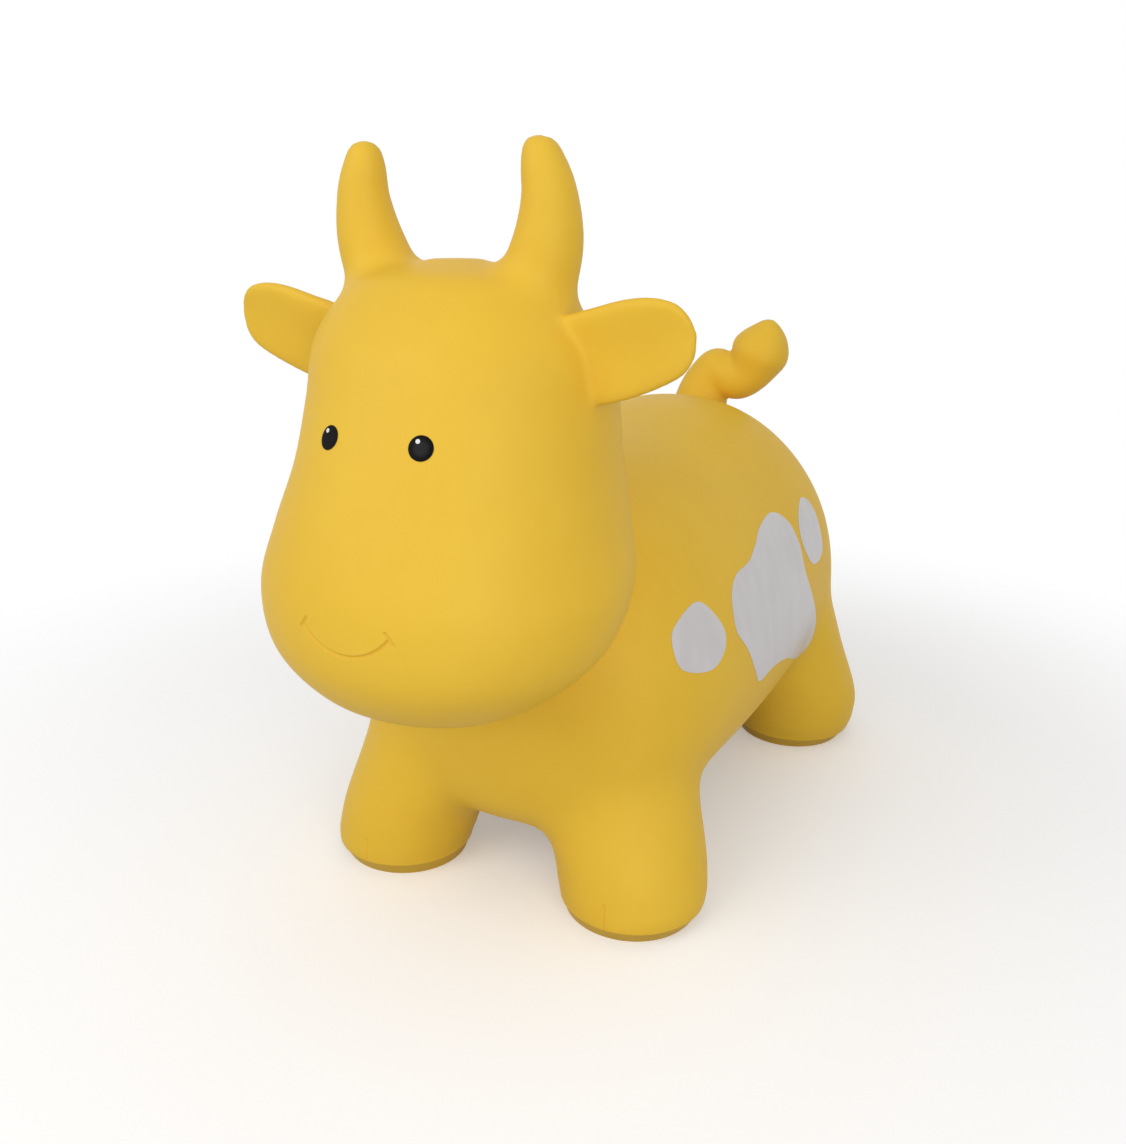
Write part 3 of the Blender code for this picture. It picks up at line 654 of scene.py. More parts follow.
def near_box(points, spots, reach):
    """Which points lie in the box round the spots, widened by the reach."""
    return np.all((points > spots.min(0) - reach) & (points < spots.max(0) + reach), axis=1)


def nearest_on(mesh, points, widest):
    """The gap from each point to a form and the nearest spot on it, where it is near enough."""
    near = near_box(points, coordinates(mesh), widest)
    tree = surface_tree(mesh)
    gaps = np.full(len(points), np.inf)
    spots = points.copy()
    for index in np.flatnonzero(near):
        spot, normal, face, gap = tree.find_nearest(points[index], widest)
        if spot is not None:
            gaps[index] = gap
            spots[index] = spot
    return gaps, spots


def split_edges(skin, chosen, cuts):
    """Finer faces at the edges whose two ends are chosen."""
    shape = bmesh.new()
    shape.from_mesh(skin.data)
    edges = [edge for edge in shape.edges if chosen(*edge.verts)]
    bmesh.ops.subdivide_edges(shape, edges=edges, cuts=cuts, use_grid_fill=True)
    skin.data = mesh_of(shape, "cow_skin")


def refine_ears(skin, forms):
    """Finer faces on the ears, whose rims are thin."""
    points = coordinates(skin.data)
    close = np.zeros(len(points), bool)
    for name, mesh, carriers, blend in forms:
        if name == "ear":
            gaps = nearest_on(mesh, points, EAR_THICKNESS)[0]
            close |= (gaps < GRAIN) & (np.abs(points[:, 0]) > EAR_ROOT_X)
    split_edges(skin, lambda start, end: close[start.index] and close[end.index], 1)


def signed_gap(tree, point):
    """How far a point is outside a form, and the way straight out of the form there."""
    spot, normal, face, gap = tree.find_nearest(point)
    away = point - spot
    if gap < TOUCHING_SHARE * GRAIN:
        return 0, normal
    if away.dot(normal) < 0:
        return -gap, -away / gap
    return gap, away / gap


def lay_on_fillet(points, chosen, form, carrier, size):
    """Move points on to the surface that joins two forms with a smooth hollow corner."""
    form_tree = surface_tree(form)
    carrier_tree = surface_tree(carrier)
    for index in chosen:
        point = Vector(points[index])
        for step in range(FILLET_STEPS):
            out, way = signed_gap(form_tree, point)
            other_out, other_way = signed_gap(carrier_tree, point)
            share = min(1, max(0, (1 + (other_out - out) / size) / 2))
            height = out * share + other_out * (1 - share) - size * share * (1 - share)
            slope = way * share + other_way * (1 - share)
            point -= slope * (height / max(slope.length_squared, FILLET_LEAST_SLOPE))
        points[index] = point


def merged_skin(forms):
    """One mesh over all forms, with soft corners or hollow fillets where they meet."""
    joined = bmesh.new()
    for name, mesh, carriers, blend in forms:
        joined.from_mesh(mesh)
    skin = add_object("cow_skin", mesh_of(joined, "cow_skin"))
    remesh = skin.modifiers.new("merge", "REMESH")
    remesh.mode = "VOXEL"
    remesh.voxel_size = GRAIN
    bake_modifiers(skin)
    refine_ears(skin, forms)

    points = coordinates(skin.data)
    widest = max(form[3] for form in forms)
    found = [nearest_on(form[1], points, widest) for form in forms]
    gaps = np.array([entry[0] for entry in found])
    soft = np.full(len(points), EVEN_SMOOTHING_SHARE)
    fillets = []
    for i, (name, mesh, carriers, blend) in enumerate(forms):
        for j, other in enumerate(forms):
            if carriers and other[0] in carriers.split():
                apart = np.maximum(gaps[i], gaps[j])
                if name in FILLETED:
                    zone = apart < blend
                    soft[zone] = np.maximum(soft[zone], RELAX_SHARE)
                    fillets.append((zone, mesh, other[1], blend))
                else:
                    soft = np.maximum(soft, 1 - apart / blend)
    ease = np.clip((points[:, 2] - FOOT_PLAIN_HEIGHT) / FOOT_EASE, 0, 1)
    soft = EVEN_SMOOTHING_SHARE + (soft - EVEN_SMOOTHING_SHARE) * ease
    group = skin.vertex_groups.new(name="corners")
    for index, weight in enumerate(soft):
        group.add([index], float(weight), "REPLACE")
    smooth = skin.modifiers.new("smooth", "SMOOTH")
    smooth.factor = SMOOTHING_STEP_SHARE
    smooth.iterations = round((SMOOTHING_REACH / GRAIN) ** 2)
    smooth.vertex_group = "corners"
    bake_modifiers(skin)

    spots = np.array([entry[1] for entry in found])[gaps.argmin(0), np.arange(len(points))]
    hold = 1 - np.clip((soft - EVEN_SMOOTHING_SHARE) / HOLD_SHARE, 0, 1)[:, None]
    relaxed = coordinates(skin.data)
    placed = relaxed * (1 - hold) + spots * hold
    for zone, mesh, carrier, blend in fillets:
        placed[zone] = relaxed[zone]
        lay_on_fillet(placed, np.flatnonzero(zone), mesh, carrier, blend)
    move_points(skin, placed)
    finish = skin.modifiers.new("finish", "SMOOTH")
    finish.factor = SMOOTHING_STEP_SHARE
    finish.iterations = FINISHING_ROUNDS
    bake_modifiers(skin)
    return skin


def cut_soles(skin):
    """Cut the feet flat at the floor."""
    shape = bmesh.new()
    shape.from_mesh(skin.data)
    everything = shape.verts[:] + shape.edges[:] + shape.faces[:]
    floor = Vector((0, 0, 0))
    bmesh.ops.bisect_plane(shape, geom=everything, plane_co=floor, plane_no=Z_AXIS, clear_inner=True)
    rims = [edge for edge in shape.edges if edge.is_boundary]
    bmesh.ops.holes_fill(shape, edges=rims)
    skin.data = mesh_of(shape, "cow_skin")


def distances_to_lines(points, lines):
    """How far each point is from the nearest of several lines, each a row of points."""
    least = np.full(len(points), np.inf)
    for line in lines:
        spots = np.array(line)
        near = near_box(points, spots, LINE_SEARCH_CELLS * GRAIN)
        some = points[near]
        best = np.full(len(some), np.inf)
        for start, end in zip(spots, spots[1:]):
            step = end - start
            share = np.clip(((some - start) @ step) / (step @ step), 0, 1)
            best = np.minimum(best, np.linalg.norm(some - start - share[:, None] * step, axis=1))
        least[near] = np.minimum(least[near], best)
    return least


def split_near(skin, lines, reach, cuts):
    """Finer faces along the lines."""
    close = distances_to_lines(coordinates(skin.data), lines) < reach
    split_edges(skin, lambda start, end: close[start.index] or close[end.index], cuts)


def local_mesh(mesh, near):
    """The faces that touch the chosen points."""
    starts = np.empty(len(mesh.polygons), np.int32)
    mesh.polygons.foreach_get("loop_start", starts)
    corners = np.empty(len(mesh.loops), np.int32)
    mesh.loops.foreach_get("vertex_index", corners)
    touched = np.flatnonzero(np.logical_or.reduceat(near[corners], starts))
    faces = [tuple(mesh.polygons[int(index)].vertices) for index in touched]
    used = sorted({index for face in faces for index in face})
    places = {index: k for k, index in enumerate(used)}
    part = bpy.data.meshes.new("local")
    part.from_pydata(coordinates(mesh)[used], [], [[places[index] for index in face] for face in faces])
    return part


def rounded_tree(mesh, lines):
    """The smooth surface through the faces round the lines, to lay finer faces on."""
    near = distances_to_lines(coordinates(mesh), lines) < LINE_ROUNDING_CELLS * GRAIN
    thing = add_object("rounded", local_mesh(mesh, near))
    finer = thing.modifiers.new("round", "SUBSURF")
    finer.levels = LINE_ROUNDING_LEVELS
    finer.render_levels = LINE_ROUNDING_LEVELS
    bake_modifiers(thing)
    tree = surface_tree(thing.data)
    bpy.data.objects.remove(thing, do_unlink=True)
    return tree


def press_lines(skin, lines, half_width, depth):
    """Press lines into the skin, on faces that are split finely enough to show them."""
    tree = rounded_tree(skin.data, lines)
    reach = half_width + GRAIN
    for cuts in LINE_CUTS:
        split_near(skin, lines, reach, cuts)
        reach = max(reach / (cuts + 1), LINE_MARGIN * half_width)
    points = coordinates(skin.data)
    apart = distances_to_lines(points, lines)
    for index in np.flatnonzero(apart < reach):
        spot, normal = tree.find_nearest(points[index])[:2]
        ease = min(1, (reach - apart[index]) / half_width)
        spot = Vector(points[index]).lerp(spot, ease)
        share = max(0, 1 - (apart[index] / half_width) ** 2) ** 2
        skin.data.vertices[index].co = spot - normal * (depth * share)


def face_spot(tree, x, z):
    """The point of the head's front at a given side place and height."""
    start = Vector((x, HEAD_FRONT_Y - PRINT_REACH, z))
    return tree.ray_cast(start, Y_AXIS)[0]


def smile_lines(tree):
    reach = math.asin(SMILE_HALF_WIDTH / SMILE_RADIUS)
    arc = []
    for k in range(SMILE_POINTS):
        angle = reach * (2 * k / (SMILE_POINTS - 1) - 1)
        z = SMILE_LOW_Z + SMILE_RADIUS * (1 - math.cos(angle))
        arc.append(face_spot(tree, SMILE_RADIUS * math.sin(angle), z))
    lines = [arc]
    end_z = SMILE_LOW_Z + SMILE_RADIUS * (1 - math.cos(reach))
    for side in (-1, 1):
        ends = []
        for way in (-1, 1):
            step = way * TICK_HALF_LENGTH
            x = side * SMILE_HALF_WIDTH + step * math.cos(reach)
            ends.append(face_spot(tree, x, end_z - side * step * math.sin(reach)))
        lines.append(ends)
    return lines


def feet():
    """Each foot's middle, radius and the way from it to the nearer end of the cow."""
    places = []
    for side in (-1, 1):
        places.append((side * FRONT_FOOT_X, front_foot_y(side), FRONT_FOOT_RADIUS, -1))
        places.append((side * REAR_FOOT_X, REAR_FOOT_Y, REAR_FOOT_RADIUS, 1))
    return places


def step_soles(skin):
    """Slope the lowest band of each foot inwards to the sole, below a crisp edge."""
    split_edges(skin, lambda start, end: 0 < max(start.co.z, end.co.z) < RIM_Z + RIM_REACH, RIM_CUTS)
    points = coordinates(skin.data)
    for x, y, radius, way in feet():
        out = points[:, :2] - (x, y)
        near = np.linalg.norm(out, axis=1) < FOOT_SEARCH_SHARE * radius
        near &= points[:, 2] < RIM_Z + RIM_REACH
        step = np.clip((RIM_Z + RIM_HALF_WIDTH - points[:, 2]) / (2 * RIM_HALF_WIDTH), 0, 1)
        slope = np.clip((RIM_Z - points[:, 2]) / RIM_Z, 0, 1)
        lip = np.clip(1 - (points[:, 2] - RIM_Z) / RIM_REACH, 0, 1) * (1 - step)
        shift = (RIM_DEPTH * step + RIM_SLOPE * slope - RIM_LIP * lip) / radius
        points[near, :2] -= out[near] * shift[near, None]
    move_points(skin, points)


def mark_lines(skin, lines, half_width):
    """Remember how deep in a pressed line each point lies, for the painted shade in the groove."""
    apart = distances_to_lines(coordinates(skin.data), lines)
    depth = np.clip(1 - (apart / half_width) ** 2, 0, 1)
    marks = skin.data.attributes.new("pressed", "FLOAT", "POINT")
    marks.data.foreach_set("value", depth.astype(np.float32))


def seam_lines(tree):
    lines = []
    for x, y, radius, way in feet():
        heights = [RIM_Z + SEAM_HEIGHT * k / SEAM_STEPS for k in range(SEAM_STEPS + 1)]
        lines.append([tree.find_nearest((x, y + way * radius, z))[0] for z in heights])
    return lines


def turned(name, profile):
    """A closed solid turned about the valve's axis from a profile of radius and height."""
    shape = bmesh.new()
    rings = []
    for radius, height in profile:
        if radius == 0:
            rings.append([shape.verts.new((0, 0, height))])
            continue
        points = [(radius * cosine, radius * sine, height) for cosine, sine in round_steps(VALVE_SIDES)]
        rings.append([shape.verts.new(point) for point in points])
    if len(rings[0]) > 1:
        rings.append(rings[0])
    for low, high in zip(rings, rings[1:]):
        for k in range(VALVE_SIDES):
            follow = (k + 1) % VALVE_SIDES
            corners = []
            for loop, place in ((low, k), (low, follow), (high, follow), (high, k)):
                vert = loop[place % len(loop)]
                if vert not in corners:
                    corners.append(vert)
            shape.faces.new(corners)
    bmesh.ops.recalc_face_normals(shape, faces=shape.faces)
    return add_object(name, mesh_of(shape, name))


def apply_boolean(thing, other, operation):
    cut = thing.modifiers.new("cut", "BOOLEAN")
    cut.operation = operation
    cut.solver = "EXACT"
    cut.object = other
    bake_modifiers(thing)
    bpy.data.objects.remove(other, do_unlink=True)


def valve_axis(low, high):
    """Where the axis of a valve piece stands, from the box of its node."""
    return ((low.x + high.x) / 2, (low.y + high.y) / 2, 0)


def cut_valve_seat(skin):
    """Sink a flat seat for the collar's flange and a bore for its sleeve."""
    low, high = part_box("valve_collar")
    flange_top = low.z + COLLAR_FLANGE_THICKNESS + FIT_GAP
    recess = (high.x - low.x) / 2 + FIT_GAP
    bore = COLLAR_SLEEVE_RADIUS + FIT_GAP
    start = low.z - PRINT_REACH
    end = low.z + BORE_DEPTH
    cutter = turned("seat_cut", (
        (0, start),
        (recess, start),
        (recess, flange_top),
        (bore, flange_top),
        (bore, end),
        (0, end),
    ))
    cutter.location = valve_axis(low, high)
    apply_boolean(skin, cutter, "DIFFERENCE")


def cow_skin():
    skin = merged_skin(skin_forms())
    cut_soles(skin)
    plain = skin.data.copy()
    tree = surface_tree(plain)
    smile = smile_lines(tree)
    press_lines(skin, smile, SMILE_LINE_HALF_WIDTH, SMILE_LINE_DEPTH)
    press_lines(skin, seam_lines(tree), SEAM_HALF_WIDTH, SEAM_DEPTH)
    step_soles(skin)
    cut_valve_seat(skin)
    mark_lines(skin, smile, SMILE_LINE_HALF_WIDTH)
    return skin, plain, tree


def prism(outline, reach):
    """A closed prism: the outline, swept along the reach."""
    return add_object("print_outline", loft([outline, [point + reach for point in outline]]))


def film(name, plain, cutter, lift):
    """A thin print: the skin inside the cutter's outline, lifted a little."""
    near = near_box(coordinates(plain), coordinates(cutter.data), 2 * GRAIN)
    piece = add_object(name, local_mesh(plain, near))
    raise_up = piece.modifiers.new("lift", "DISPLACE")
    raise_up.mid_level = 0
    raise_up.strength = lift
    body = piece.modifiers.new("body", "SOLIDIFY")
    body.thickness = PRINT_THICKNESS
    body.offset = 1
    bake_modifiers(piece)
    apply_boolean(piece, cutter, "INTERSECT")
    return piece


def disc_prism(centre, direction, radius, sides):
    """A round prism along a direction, centred on a point."""
    across = direction.cross(Z_AXIS).normalized()
    along = direction.cross(across)
    start = centre - direction * PRINT_REACH
    outline = []
    for cosine, sine in round_steps(sides):
        outline.append(start + across * (radius * cosine) + along * (radius * sine))
    return prism(outline, direction * (2 * PRINT_REACH))


def eye_prints(plain, tree):
    pieces = []
    for side, word in SIDES:
        direction = Vector((
            side * math.sin(EYE_TURN) * math.cos(EYE_TILT),
            -math.cos(EYE_TURN) * math.cos(EYE_TILT),
            math.sin(EYE_TILT),
        ))
        spot = face_spot(tree, side * EYE_X, EYE_Z)
        cutter = disc_prism(spot, direction, EYE_RADIUS, EYE_SIDES)
        pieces.append((film("eye_print_" + word, plain, cutter, PRINT_LIFT), "eye_" + word))
        spot = face_spot(tree, side * EYE_X + HIGHLIGHT_X, EYE_Z + HIGHLIGHT_Z)
        cutter = disc_prism(spot, direction, HIGHLIGHT_RADIUS, HIGHLIGHT_SIDES)
        lift = 2 * PRINT_LIFT + PRINT_THICKNESS
        pieces.append((film("eye_glint_" + word, plain, cutter, lift), "eye_highlight_" + word))
    return pieces


def smooth_loop(points, steps=PATCH_STEPS):
    """A closed outline on a smooth curve through the given points."""
    wrapped = smooth_rows(points[-2:] + points + points[:2], steps)
    return wrapped[2 * steps: (2 + len(points)) * steps]


def patch_prints(plain):
    pieces = []
    for side, word in SIDES:
        start_x = side * BODY_WIDTH / 4
        for place, centre_y, centre_z, length, height, shares in PATCHES:
            outline = []
            for along, up in smooth_loop(shares):
                outline.append(Vector((start_x, centre_y + along * length, centre_z + up * height)))
            cutter = prism(outline, X_AXIS * (side * BODY_WIDTH / 2))
            piece = film("patch_print_%s_%s" % (word, place), plain, cutter, PRINT_LIFT)
            pieces.append((piece, "patch_%s_%s" % (word, place)))
    return pieces


def rounded_corner(radius, height, inwards, upwards):
    """Points of a small round edge of a turned profile, with the corner at radius and height."""
    points = []
    for k in range(EDGE_STEPS + 1):
        angle = math.pi / 2 * k / EDGE_STEPS
        points.append((
            radius + inwards * EDGE_ROUND * (1 - math.sin(angle)),
            height + upwards * EDGE_ROUND * (1 - math.cos(angle)),
        ))
    return points


def valve_collar():
    """A flanged sleeve with a bead at its inner end."""
    low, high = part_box("valve_collar")
    flange = (high.x - low.x) / 2
    bead = high.z - COLLAR_BEAD_HEIGHT
    hole = STOPPER_SHANK_RADIUS + FIT_GAP
    profile = [(hole, high.z)]
    profile += rounded_corner(hole, low.z, 1, 1)[::-1]
    profile += rounded_corner(flange, low.z, -1, 1)
    profile += [
        (flange, low.z + COLLAR_FLANGE_THICKNESS),
        (COLLAR_SLEEVE_RADIUS, low.z + COLLAR_FLANGE_THICKNESS),
        (COLLAR_SLEEVE_RADIUS, bead),
        (COLLAR_SLEEVE_RADIUS + FIT_GAP, bead + COLLAR_BEAD_HEIGHT / 2),
        (COLLAR_SLEEVE_RADIUS, high.z),
    ]
    collar = turned("valve_collar_turned", profile)
    collar.location = valve_axis(low, high)
    return collar


def valve_stopper():
    """A ribbed stopper that pulls straight down, with a rounded fin below its head."""
    low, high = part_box("valve_stopper")
    head = (high.x - low.x) / 2
    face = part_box("valve_collar")[0].z - FIT_GAP
    under = face - STOPPER_HEAD_THICKNESS
    core = STOPPER_SHANK_RADIUS - STOPPER_RIB_HEIGHT
    pitch = (high.z - face - STOPPER_NOSE) / (STOPPER_RIBS + 1)
    profile = [(0, under)]
    profile += rounded_corner(head, under, -1, 1)
    profile += rounded_corner(head, face, -1, -1)[::-1]
    profile.append((core, face))
    for k in range(1, STOPPER_RIBS + 1):
        for step in range(-RIB_STEPS, RIB_STEPS + 1):
            angle = math.pi / 2 * step / RIB_STEPS
            profile.append((
                core + STOPPER_RIB_HEIGHT * math.cos(angle),
                face + k * pitch + 2 * STOPPER_RIB_HEIGHT * math.sin(angle),
            ))
    profile += [(core, high.z - STOPPER_NOSE), (core - STOPPER_NOSE, high.z), (0, high.z)]
    stopper = turned("valve_stopper_turned", profile)
    shape = bmesh.new()
    bmesh.ops.create_cube(shape, size=1)
    sunk = STOPPER_HEAD_THICKNESS / 2
    bmesh.ops.scale(shape, vec=(GRIP_THICKNESS, GRIP_LENGTH, under + sunk - low.z), verts=shape.verts)
    edges = shape.edges[:]
    bmesh.ops.bevel(shape, geom=edges, offset=2 * EDGE_ROUND, segments=EDGE_STEPS, affect="EDGES")
    grip = add_object("grip", mesh_of(shape, "grip"))
    grip.location.z = (under + sunk + low.z) / 2
    apply_boolean(stopper, grip, "UNION")
    stopper.location = valve_axis(low, high)
    return stopper


class Socket:
    """A shader socket that can be written in a formula: each operator adds the Math node that it needs."""

    def __init__(self, tree, link):
        self.tree = tree
        self.link = link

    def node(self, kind, settings=None, outlet=0, **inputs):
        return add_node(self.tree, kind, settings, outlet, **inputs)

    def maths(self, operation, *values):
        node = self.tree.nodes.new("ShaderNodeMath")
        node.operation = operation
        for place, value in zip(node.inputs, values):
            fill(self.tree, place, value)
        return Socket(self.tree, node.outputs[0])

    def __add__(self, other):
        return self.maths("ADD", self, other)

    def __radd__(self, other):
        return self.maths("ADD", other, self)

    def __sub__(self, other):
        return self.maths("SUBTRACT", self, other)

    def __rsub__(self, other):
        return self.maths("SUBTRACT", other, self)

    def __mul__(self, other):
        return self.maths("MULTIPLY", self, other)

    def __truediv__(self, other):
        return self.maths("DIVIDE", self, other)


def fill(tree, place, value):
    if isinstance(value, Socket):
        tree.links.new(value.link, place)
    elif isinstance(value, tuple) and place.type == "RGBA":
        place.default_value = (*value, 1)
    else:
        place.default_value = value


def add_node(tree, kind, settings=None, outlet=0, **inputs):
    """A node with its settings and its inputs, which are named with underscores for spaces."""
    node = tree.nodes.new(kind)
    for name, value in (settings or {}).items():
        setattr(node, name, value)
    for name, value in inputs.items():
        fill(tree, node.inputs[name.replace("_", " ")], value)
    return Socket(tree, node.outputs[outlet])


def mixed(share, low, high):
    """A colour between two, by a share that varies over the surface."""
    node = share.tree.nodes.new("ShaderNodeMix")
    node.data_type = "RGBA"
    for place, value in zip((node.inputs[0], node.inputs[6], node.inputs[7]), (share, low, high)):
        fill(share.tree, place, value)
    return Socket(share.tree, node.outputs[2])


def ramp(value, low, high):
    """0 below low, 1 above high and a smooth rise between them."""
    settings = {"interpolation_type": "SMOOTHSTEP"}
    return value.node("ShaderNodeMapRange", settings, Value=value, From_Min=low, From_Max=high)


def new_finish(name, roughness, shine=PLAIN_SHINE):
    """A material, its tree, its shader and the place of each point on the piece in metres."""
    material = bpy.data.materials.new(name)
    material.use_nodes = True
    tree = material.node_tree
    shader = tree.nodes["Principled BSDF"]
    shader.inputs["Roughness"].default_value = roughness
    shader.inputs["Specular IOR Level"].default_value = shine
    place = add_node(tree, "ShaderNodeTexCoord", None, "Object")
    return material, tree, shader, place


def noise(place, size, detail=2.0):
    """Soft random light and dark of about one size, from 0 to 1."""
    return place.node("ShaderNodeTexNoise", None, "Fac", Vector=place, Scale=1 / size, Detail=detail)


def bumped(height, depth):
    return height.node("ShaderNodeBump", None, "Normal", Height=height, Distance=depth)


def blended(share, most, rest):
    """Two patterns as one, the first by its share."""
    return most * share + rest * (1 - share)


def varied(middle, pattern, spread):
    """A value that a pattern from 0 to 1 moves down and up from its middle."""
    return middle - spread / 2 + pattern * spread


def cover(tree, shader, colour, roughness, bump):
    """Link what varies over a surface to its shader."""
    for name, value in (("Base Color", colour), ("Roughness", roughness), ("Normal", bump)):
        fill(tree, shader.inputs[name], value)


def vinyl_finish():
    """Satin dyed-through vinyl, as it comes out of a rotating mould, with painted shade in the smile's
    groove and on the lowest band of each foot.
    """
    material, tree, shader, place = new_finish("vinyl", VINYL_ROUGHNESS, VINYL_SHINE)
    cloud = noise(place, VINYL_CLOUD_SIZE)
    mottle = noise(place, VINYL_MOTTLE_SIZE, FINE_DETAIL)
    pebble = noise(place, VINYL_PEBBLE_SIZE)
    grain = noise(place, VINYL_GRAIN_SIZE)
    tone = ramp(blended(VINYL_CLOUD_SHARE, cloud, mottle), *SOFT_CONTRAST)
    colour = mixed(tone, VINYL_DEEP_COLOUR, VINYL_COLOUR)
    height = place.node("ShaderNodeSeparateXYZ", None, "Z", Vector=place)
    # painted shade below the feet's edge, where the band faces the floor, mottled
    sole_shade = SOLE_SHADE_LEAST + mottle * SOLE_SHADE_SPREAD
    sole_shade = (1 - ramp(height, RIM_Z - SOLE_SHADE_EDGE, RIM_Z)) * sole_shade
    colour = mixed(sole_shade, colour, SOLE_SHADE_COLOUR)
    # painted shade in the smile's groove, by how deep in the line each point lies
    pressed = add_node(tree, "ShaderNodeAttribute", {"attribute_name": "pressed"}, "Fac")
    colour = mixed(pressed * GROOVE_SHADE_SHARE, colour, GROOVE_SHADE_COLOUR)
    roughness = varied(VINYL_ROUGHNESS, mottle, VINYL_MOTTLE_SPREAD)
    roughness = varied(roughness, pebble, VINYL_PEBBLE_SPREAD)
    cover(tree, shader, colour, roughness, bumped(blended(VINYL_PEBBLE_SHARE, pebble, grain), VINYL_BUMP))
    return material


def eye_finish(centre, middle):
    """Black ink, with a painted reflection that greys the middle of the disc."""
    material, tree, shader, place = new_finish("eye_ink_and_reflection", EYE_ROUGHNESS, EYE_SHINE)
    offset = place.node("ShaderNodeVectorMath", {"operation": "DISTANCE"}, "Value")
    fill(tree, offset.link.node.inputs[0], place)
    offset.link.node.inputs[1].default_value = centre
    outside_reflection = ramp(offset, EYE_MIDDLE_SHARE * EYE_RADIUS, EYE_RIM_SHARE * EYE_RADIUS)
    grain = noise(place, PRINT_GRAIN_SIZE)
    roughness = varied(EYE_ROUGHNESS, grain, EYE_SPREAD)
    cover(tree, shader, mixed(outside_reflection, middle, EYE_COLOUR), roughness, bumped(grain, PRINT_BUMP))
    return material


def speckled_finish(name, shade, colour, contrast, size, roughness, bump):
    """Two close colours in specks of about one size, such as matt ink or milky plastic."""
    material, tree, shader, place = new_finish(name, roughness)
    specks = noise(place, size, FINE_DETAIL)
    tone = mixed(ramp(specks, *contrast), shade, colour)
    grain = noise(place, PRINT_GRAIN_SIZE)
    cover(tree, shader, tone, varied(roughness, specks, SPECKLE_SPREAD), bumped(grain, bump))
    return material


def patch_finish():
    """Pale ink on the flank, with faint upright streaks."""
    material, tree, shader, place = new_finish("patch_ink", PATCH_ROUGHNESS)
    scales = (1 / PATCH_STREAK_WIDTH, 1 / PATCH_STREAK_WIDTH, 1 / PATCH_STREAK_LENGTH)
    stretched = place.node("ShaderNodeMapping", None, "Vector", Vector=place, Scale=scales)
    streak = noise(stretched, 1, FINE_DETAIL)
    cloud = noise(place, PATCH_CLOUD_SIZE)
    grain = noise(place, PRINT_GRAIN_SIZE)
    tone = ramp(blended(PATCH_STREAK_SHARE, streak, cloud), *SHARP_CONTRAST)
    colour = mixed(tone, PATCH_SHADE_COLOUR, PATCH_COLOUR)
    roughness = varied(PATCH_ROUGHNESS, streak, PATCH_SPREAD)
    cover(tree, shader, colour, roughness, bumped((grain + streak) / 2, PRINT_BUMP))
    return material


def sight_of(tree):
    """1 where a point is seen directly, in a reflection or through something, else 0."""
    path = tree.nodes.new("ShaderNodeLightPath")
    seen = Socket(tree, path.outputs["Is Camera Ray"])
    seen = seen + Socket(tree, path.outputs["Is Glossy Ray"])
    seen = seen + Socket(tree, path.outputs["Is Transmission Ray"])
    return seen.maths("MINIMUM", seen, 1)


def floor_finish():
    """Matt floor, seen near white with the cow's shadow, that fades into the backdrop."""
    material, tree, shader, place = new_finish("studio_floor", FLOOR_ROUGHNESS, 0)
    mottle = noise(place, FLOOR_MOTTLE_SIZE)
    sight = sight_of(tree)
    seen = mixed(mottle, FLOOR_SHADE_COLOUR, FLOOR_COLOUR)
    fill(tree, shader.inputs["Base Color"], mixed(sight, FLOOR_DIM_COLOUR, seen))
    fill(tree, shader.inputs["Emission Color"], mixed(sight, (0, 0, 0), FLOOR_LIFT_COLOUR))
    shader.inputs["Emission Strength"].default_value = 1
    white = add_node(tree, "ShaderNodeEmission", None, 0, Strength=1, Color=(1, 1, 1))
    away = place.node("ShaderNodeVectorMath", {"operation": "LENGTH"}, "Value", Vector=place)
    cover = tree.nodes.new("ShaderNodeMixShader")
    fill(tree, cover.inputs[0], ramp(away, FLOOR_FADE_START, FLOOR_FADE_END) * sight)
    tree.links.new(shader.outputs[0], cover.inputs[1])
    tree.links.new(white.link, cover.inputs[2])
    tree.links.new(cover.outputs[0], tree.nodes["Material Output"].inputs["Surface"])
    return material


def painted(piece, material, node, body="toy"):
    """Finish a piece and put it in place of its CAD node."""
    piece.data.materials.clear()
    piece.data.materials.append(material)
    piece.data.shade_smooth()
    piece.data.set_sharp_from_angle(angle=SHARP_ANGLE)
    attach(piece, body)
    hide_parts(node)


def middle_of(piece):
    spots = coordinates(piece.data)
    return tuple((spots.min(0) + spots.max(0)) / 2)


def add_floor():
    shape = bmesh.new()
    bmesh.ops.create_grid(shape, x_segments=FLOOR_CELLS, y_segments=FLOOR_CELLS, size=FLOOR_SIZE)
    floor = add_object("studio_floor", mesh_of(shape, "studio_floor"))
    floor.data.materials.append(floor_finish())


def add_softbox(name, place, width, height, power):
    lamp = bpy.data.lights.new(name, "AREA")
    lamp.shape = "RECTANGLE"
    lamp.size = width
    lamp.size_y = height
    lamp.energy = power
    thing = add_object(name, lamp)
    thing.location = place
    thing.rotation_euler = (Vector(LIGHT_TARGET) - Vector(place)).to_track_quat("-Z", "Y").to_euler()


def add_world():
    """Plain white surroundings: seen as pure white, and a little dimmer as light."""
    world = bpy.data.worlds.new("studio")
    world.use_nodes = True
    tree = world.node_tree
    back = tree.nodes["Background"]
    seen = sight_of(tree)
    back.inputs["Color"].default_value = (1, 1, 1, 1)
    fill(tree, back.inputs["Strength"], WORLD_LIGHT + seen * (1 - WORLD_LIGHT))
    bpy.context.scene.world = world


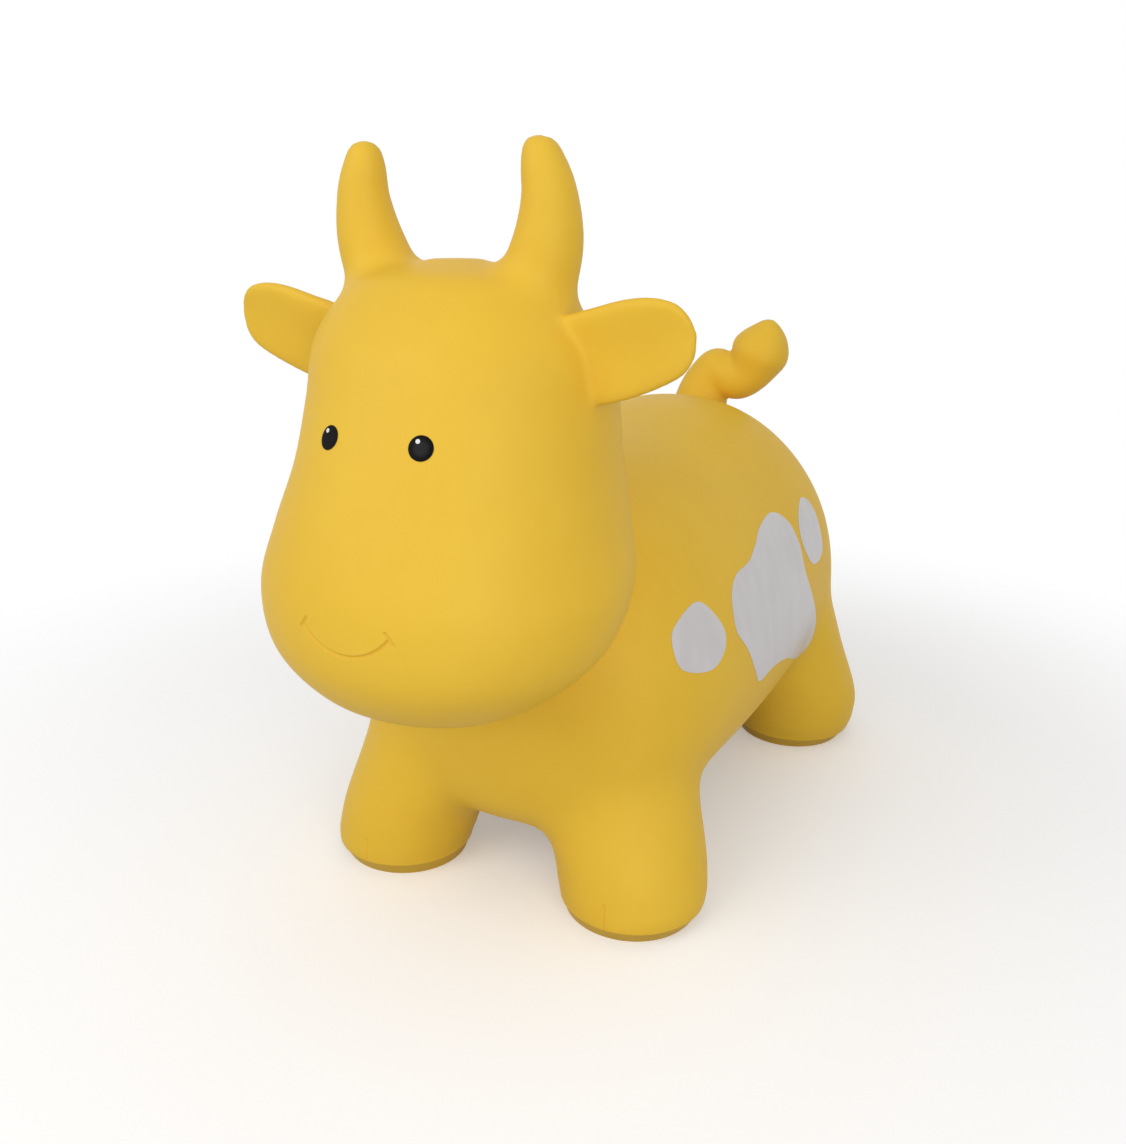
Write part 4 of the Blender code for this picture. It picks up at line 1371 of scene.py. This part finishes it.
def add_camera():
    camera = bpy.data.cameras.new("photo_camera")
    camera.sensor_width = SENSOR
    camera.lens = FOCAL_PX / PHOTO_HEIGHT_PX * SENSOR
    camera.clip_start = CAMERA_NEAR
    thing = add_object("photo_camera", camera)
    thing.location = CAMERA_PLACE
    way = Vector((
        -math.sin(CAMERA_AZIMUTH) * math.cos(CAMERA_DROP),
        math.cos(CAMERA_AZIMUTH) * math.cos(CAMERA_DROP),
        -math.sin(CAMERA_DROP),
    ))
    thing.rotation_euler = way.to_track_quat("-Z", "Y").to_euler()
    bpy.context.scene.camera = thing


def dress_cow():
    skin, plain, tree = cow_skin()
    painted(skin, vinyl_finish(), "skin")
    white = (HIGHLIGHT_SHADE_COLOUR, HIGHLIGHT_COLOUR, SHARP_CONTRAST, PRINT_GRAIN_SIZE)
    glint = speckled_finish("glint_ink", *white, HIGHLIGHT_ROUGHNESS, PRINT_BUMP)
    for piece, node in eye_prints(plain, tree):
        if node.startswith("eye_highlight"):
            painted(piece, glint, node)
        else:
            # the eye's middle colour is a painted reflection, grey only on the near left eye
            middle = LEFT_EYE_REFLECTION_COLOUR if node == "eye_left" else RIGHT_EYE_REFLECTION_COLOUR
            painted(piece, eye_finish(middle_of(piece), middle), node)
    pale = patch_finish()
    for piece, node in patch_prints(plain):
        painted(piece, pale, node)
    milky = (VALVE_SHADE_COLOUR, VALVE_COLOUR, SOFT_CONTRAST, VALVE_MOTTLE_SIZE)
    finish = speckled_finish("collar_plastic", *milky, VALVE_ROUGHNESS, VALVE_BUMP)
    painted(valve_collar(), finish, "valve_collar")
    finish = speckled_finish("stopper_plastic", *milky, VALVE_ROUGHNESS, VALVE_BUMP)
    painted(valve_stopper(), finish, "valve_stopper", "stopper")


dress_cow()
add_floor()
add_world()
add_softbox("key_softbox", KEY_PLACE, KEY_WIDTH, KEY_HEIGHT, KEY_POWER)
add_softbox("fill_softbox", FILL_PLACE, FILL_WIDTH, FILL_HEIGHT, FILL_POWER)
add_camera()
bpy.context.scene.view_settings.view_transform = "Standard"

bpy.context.view_layer.update()
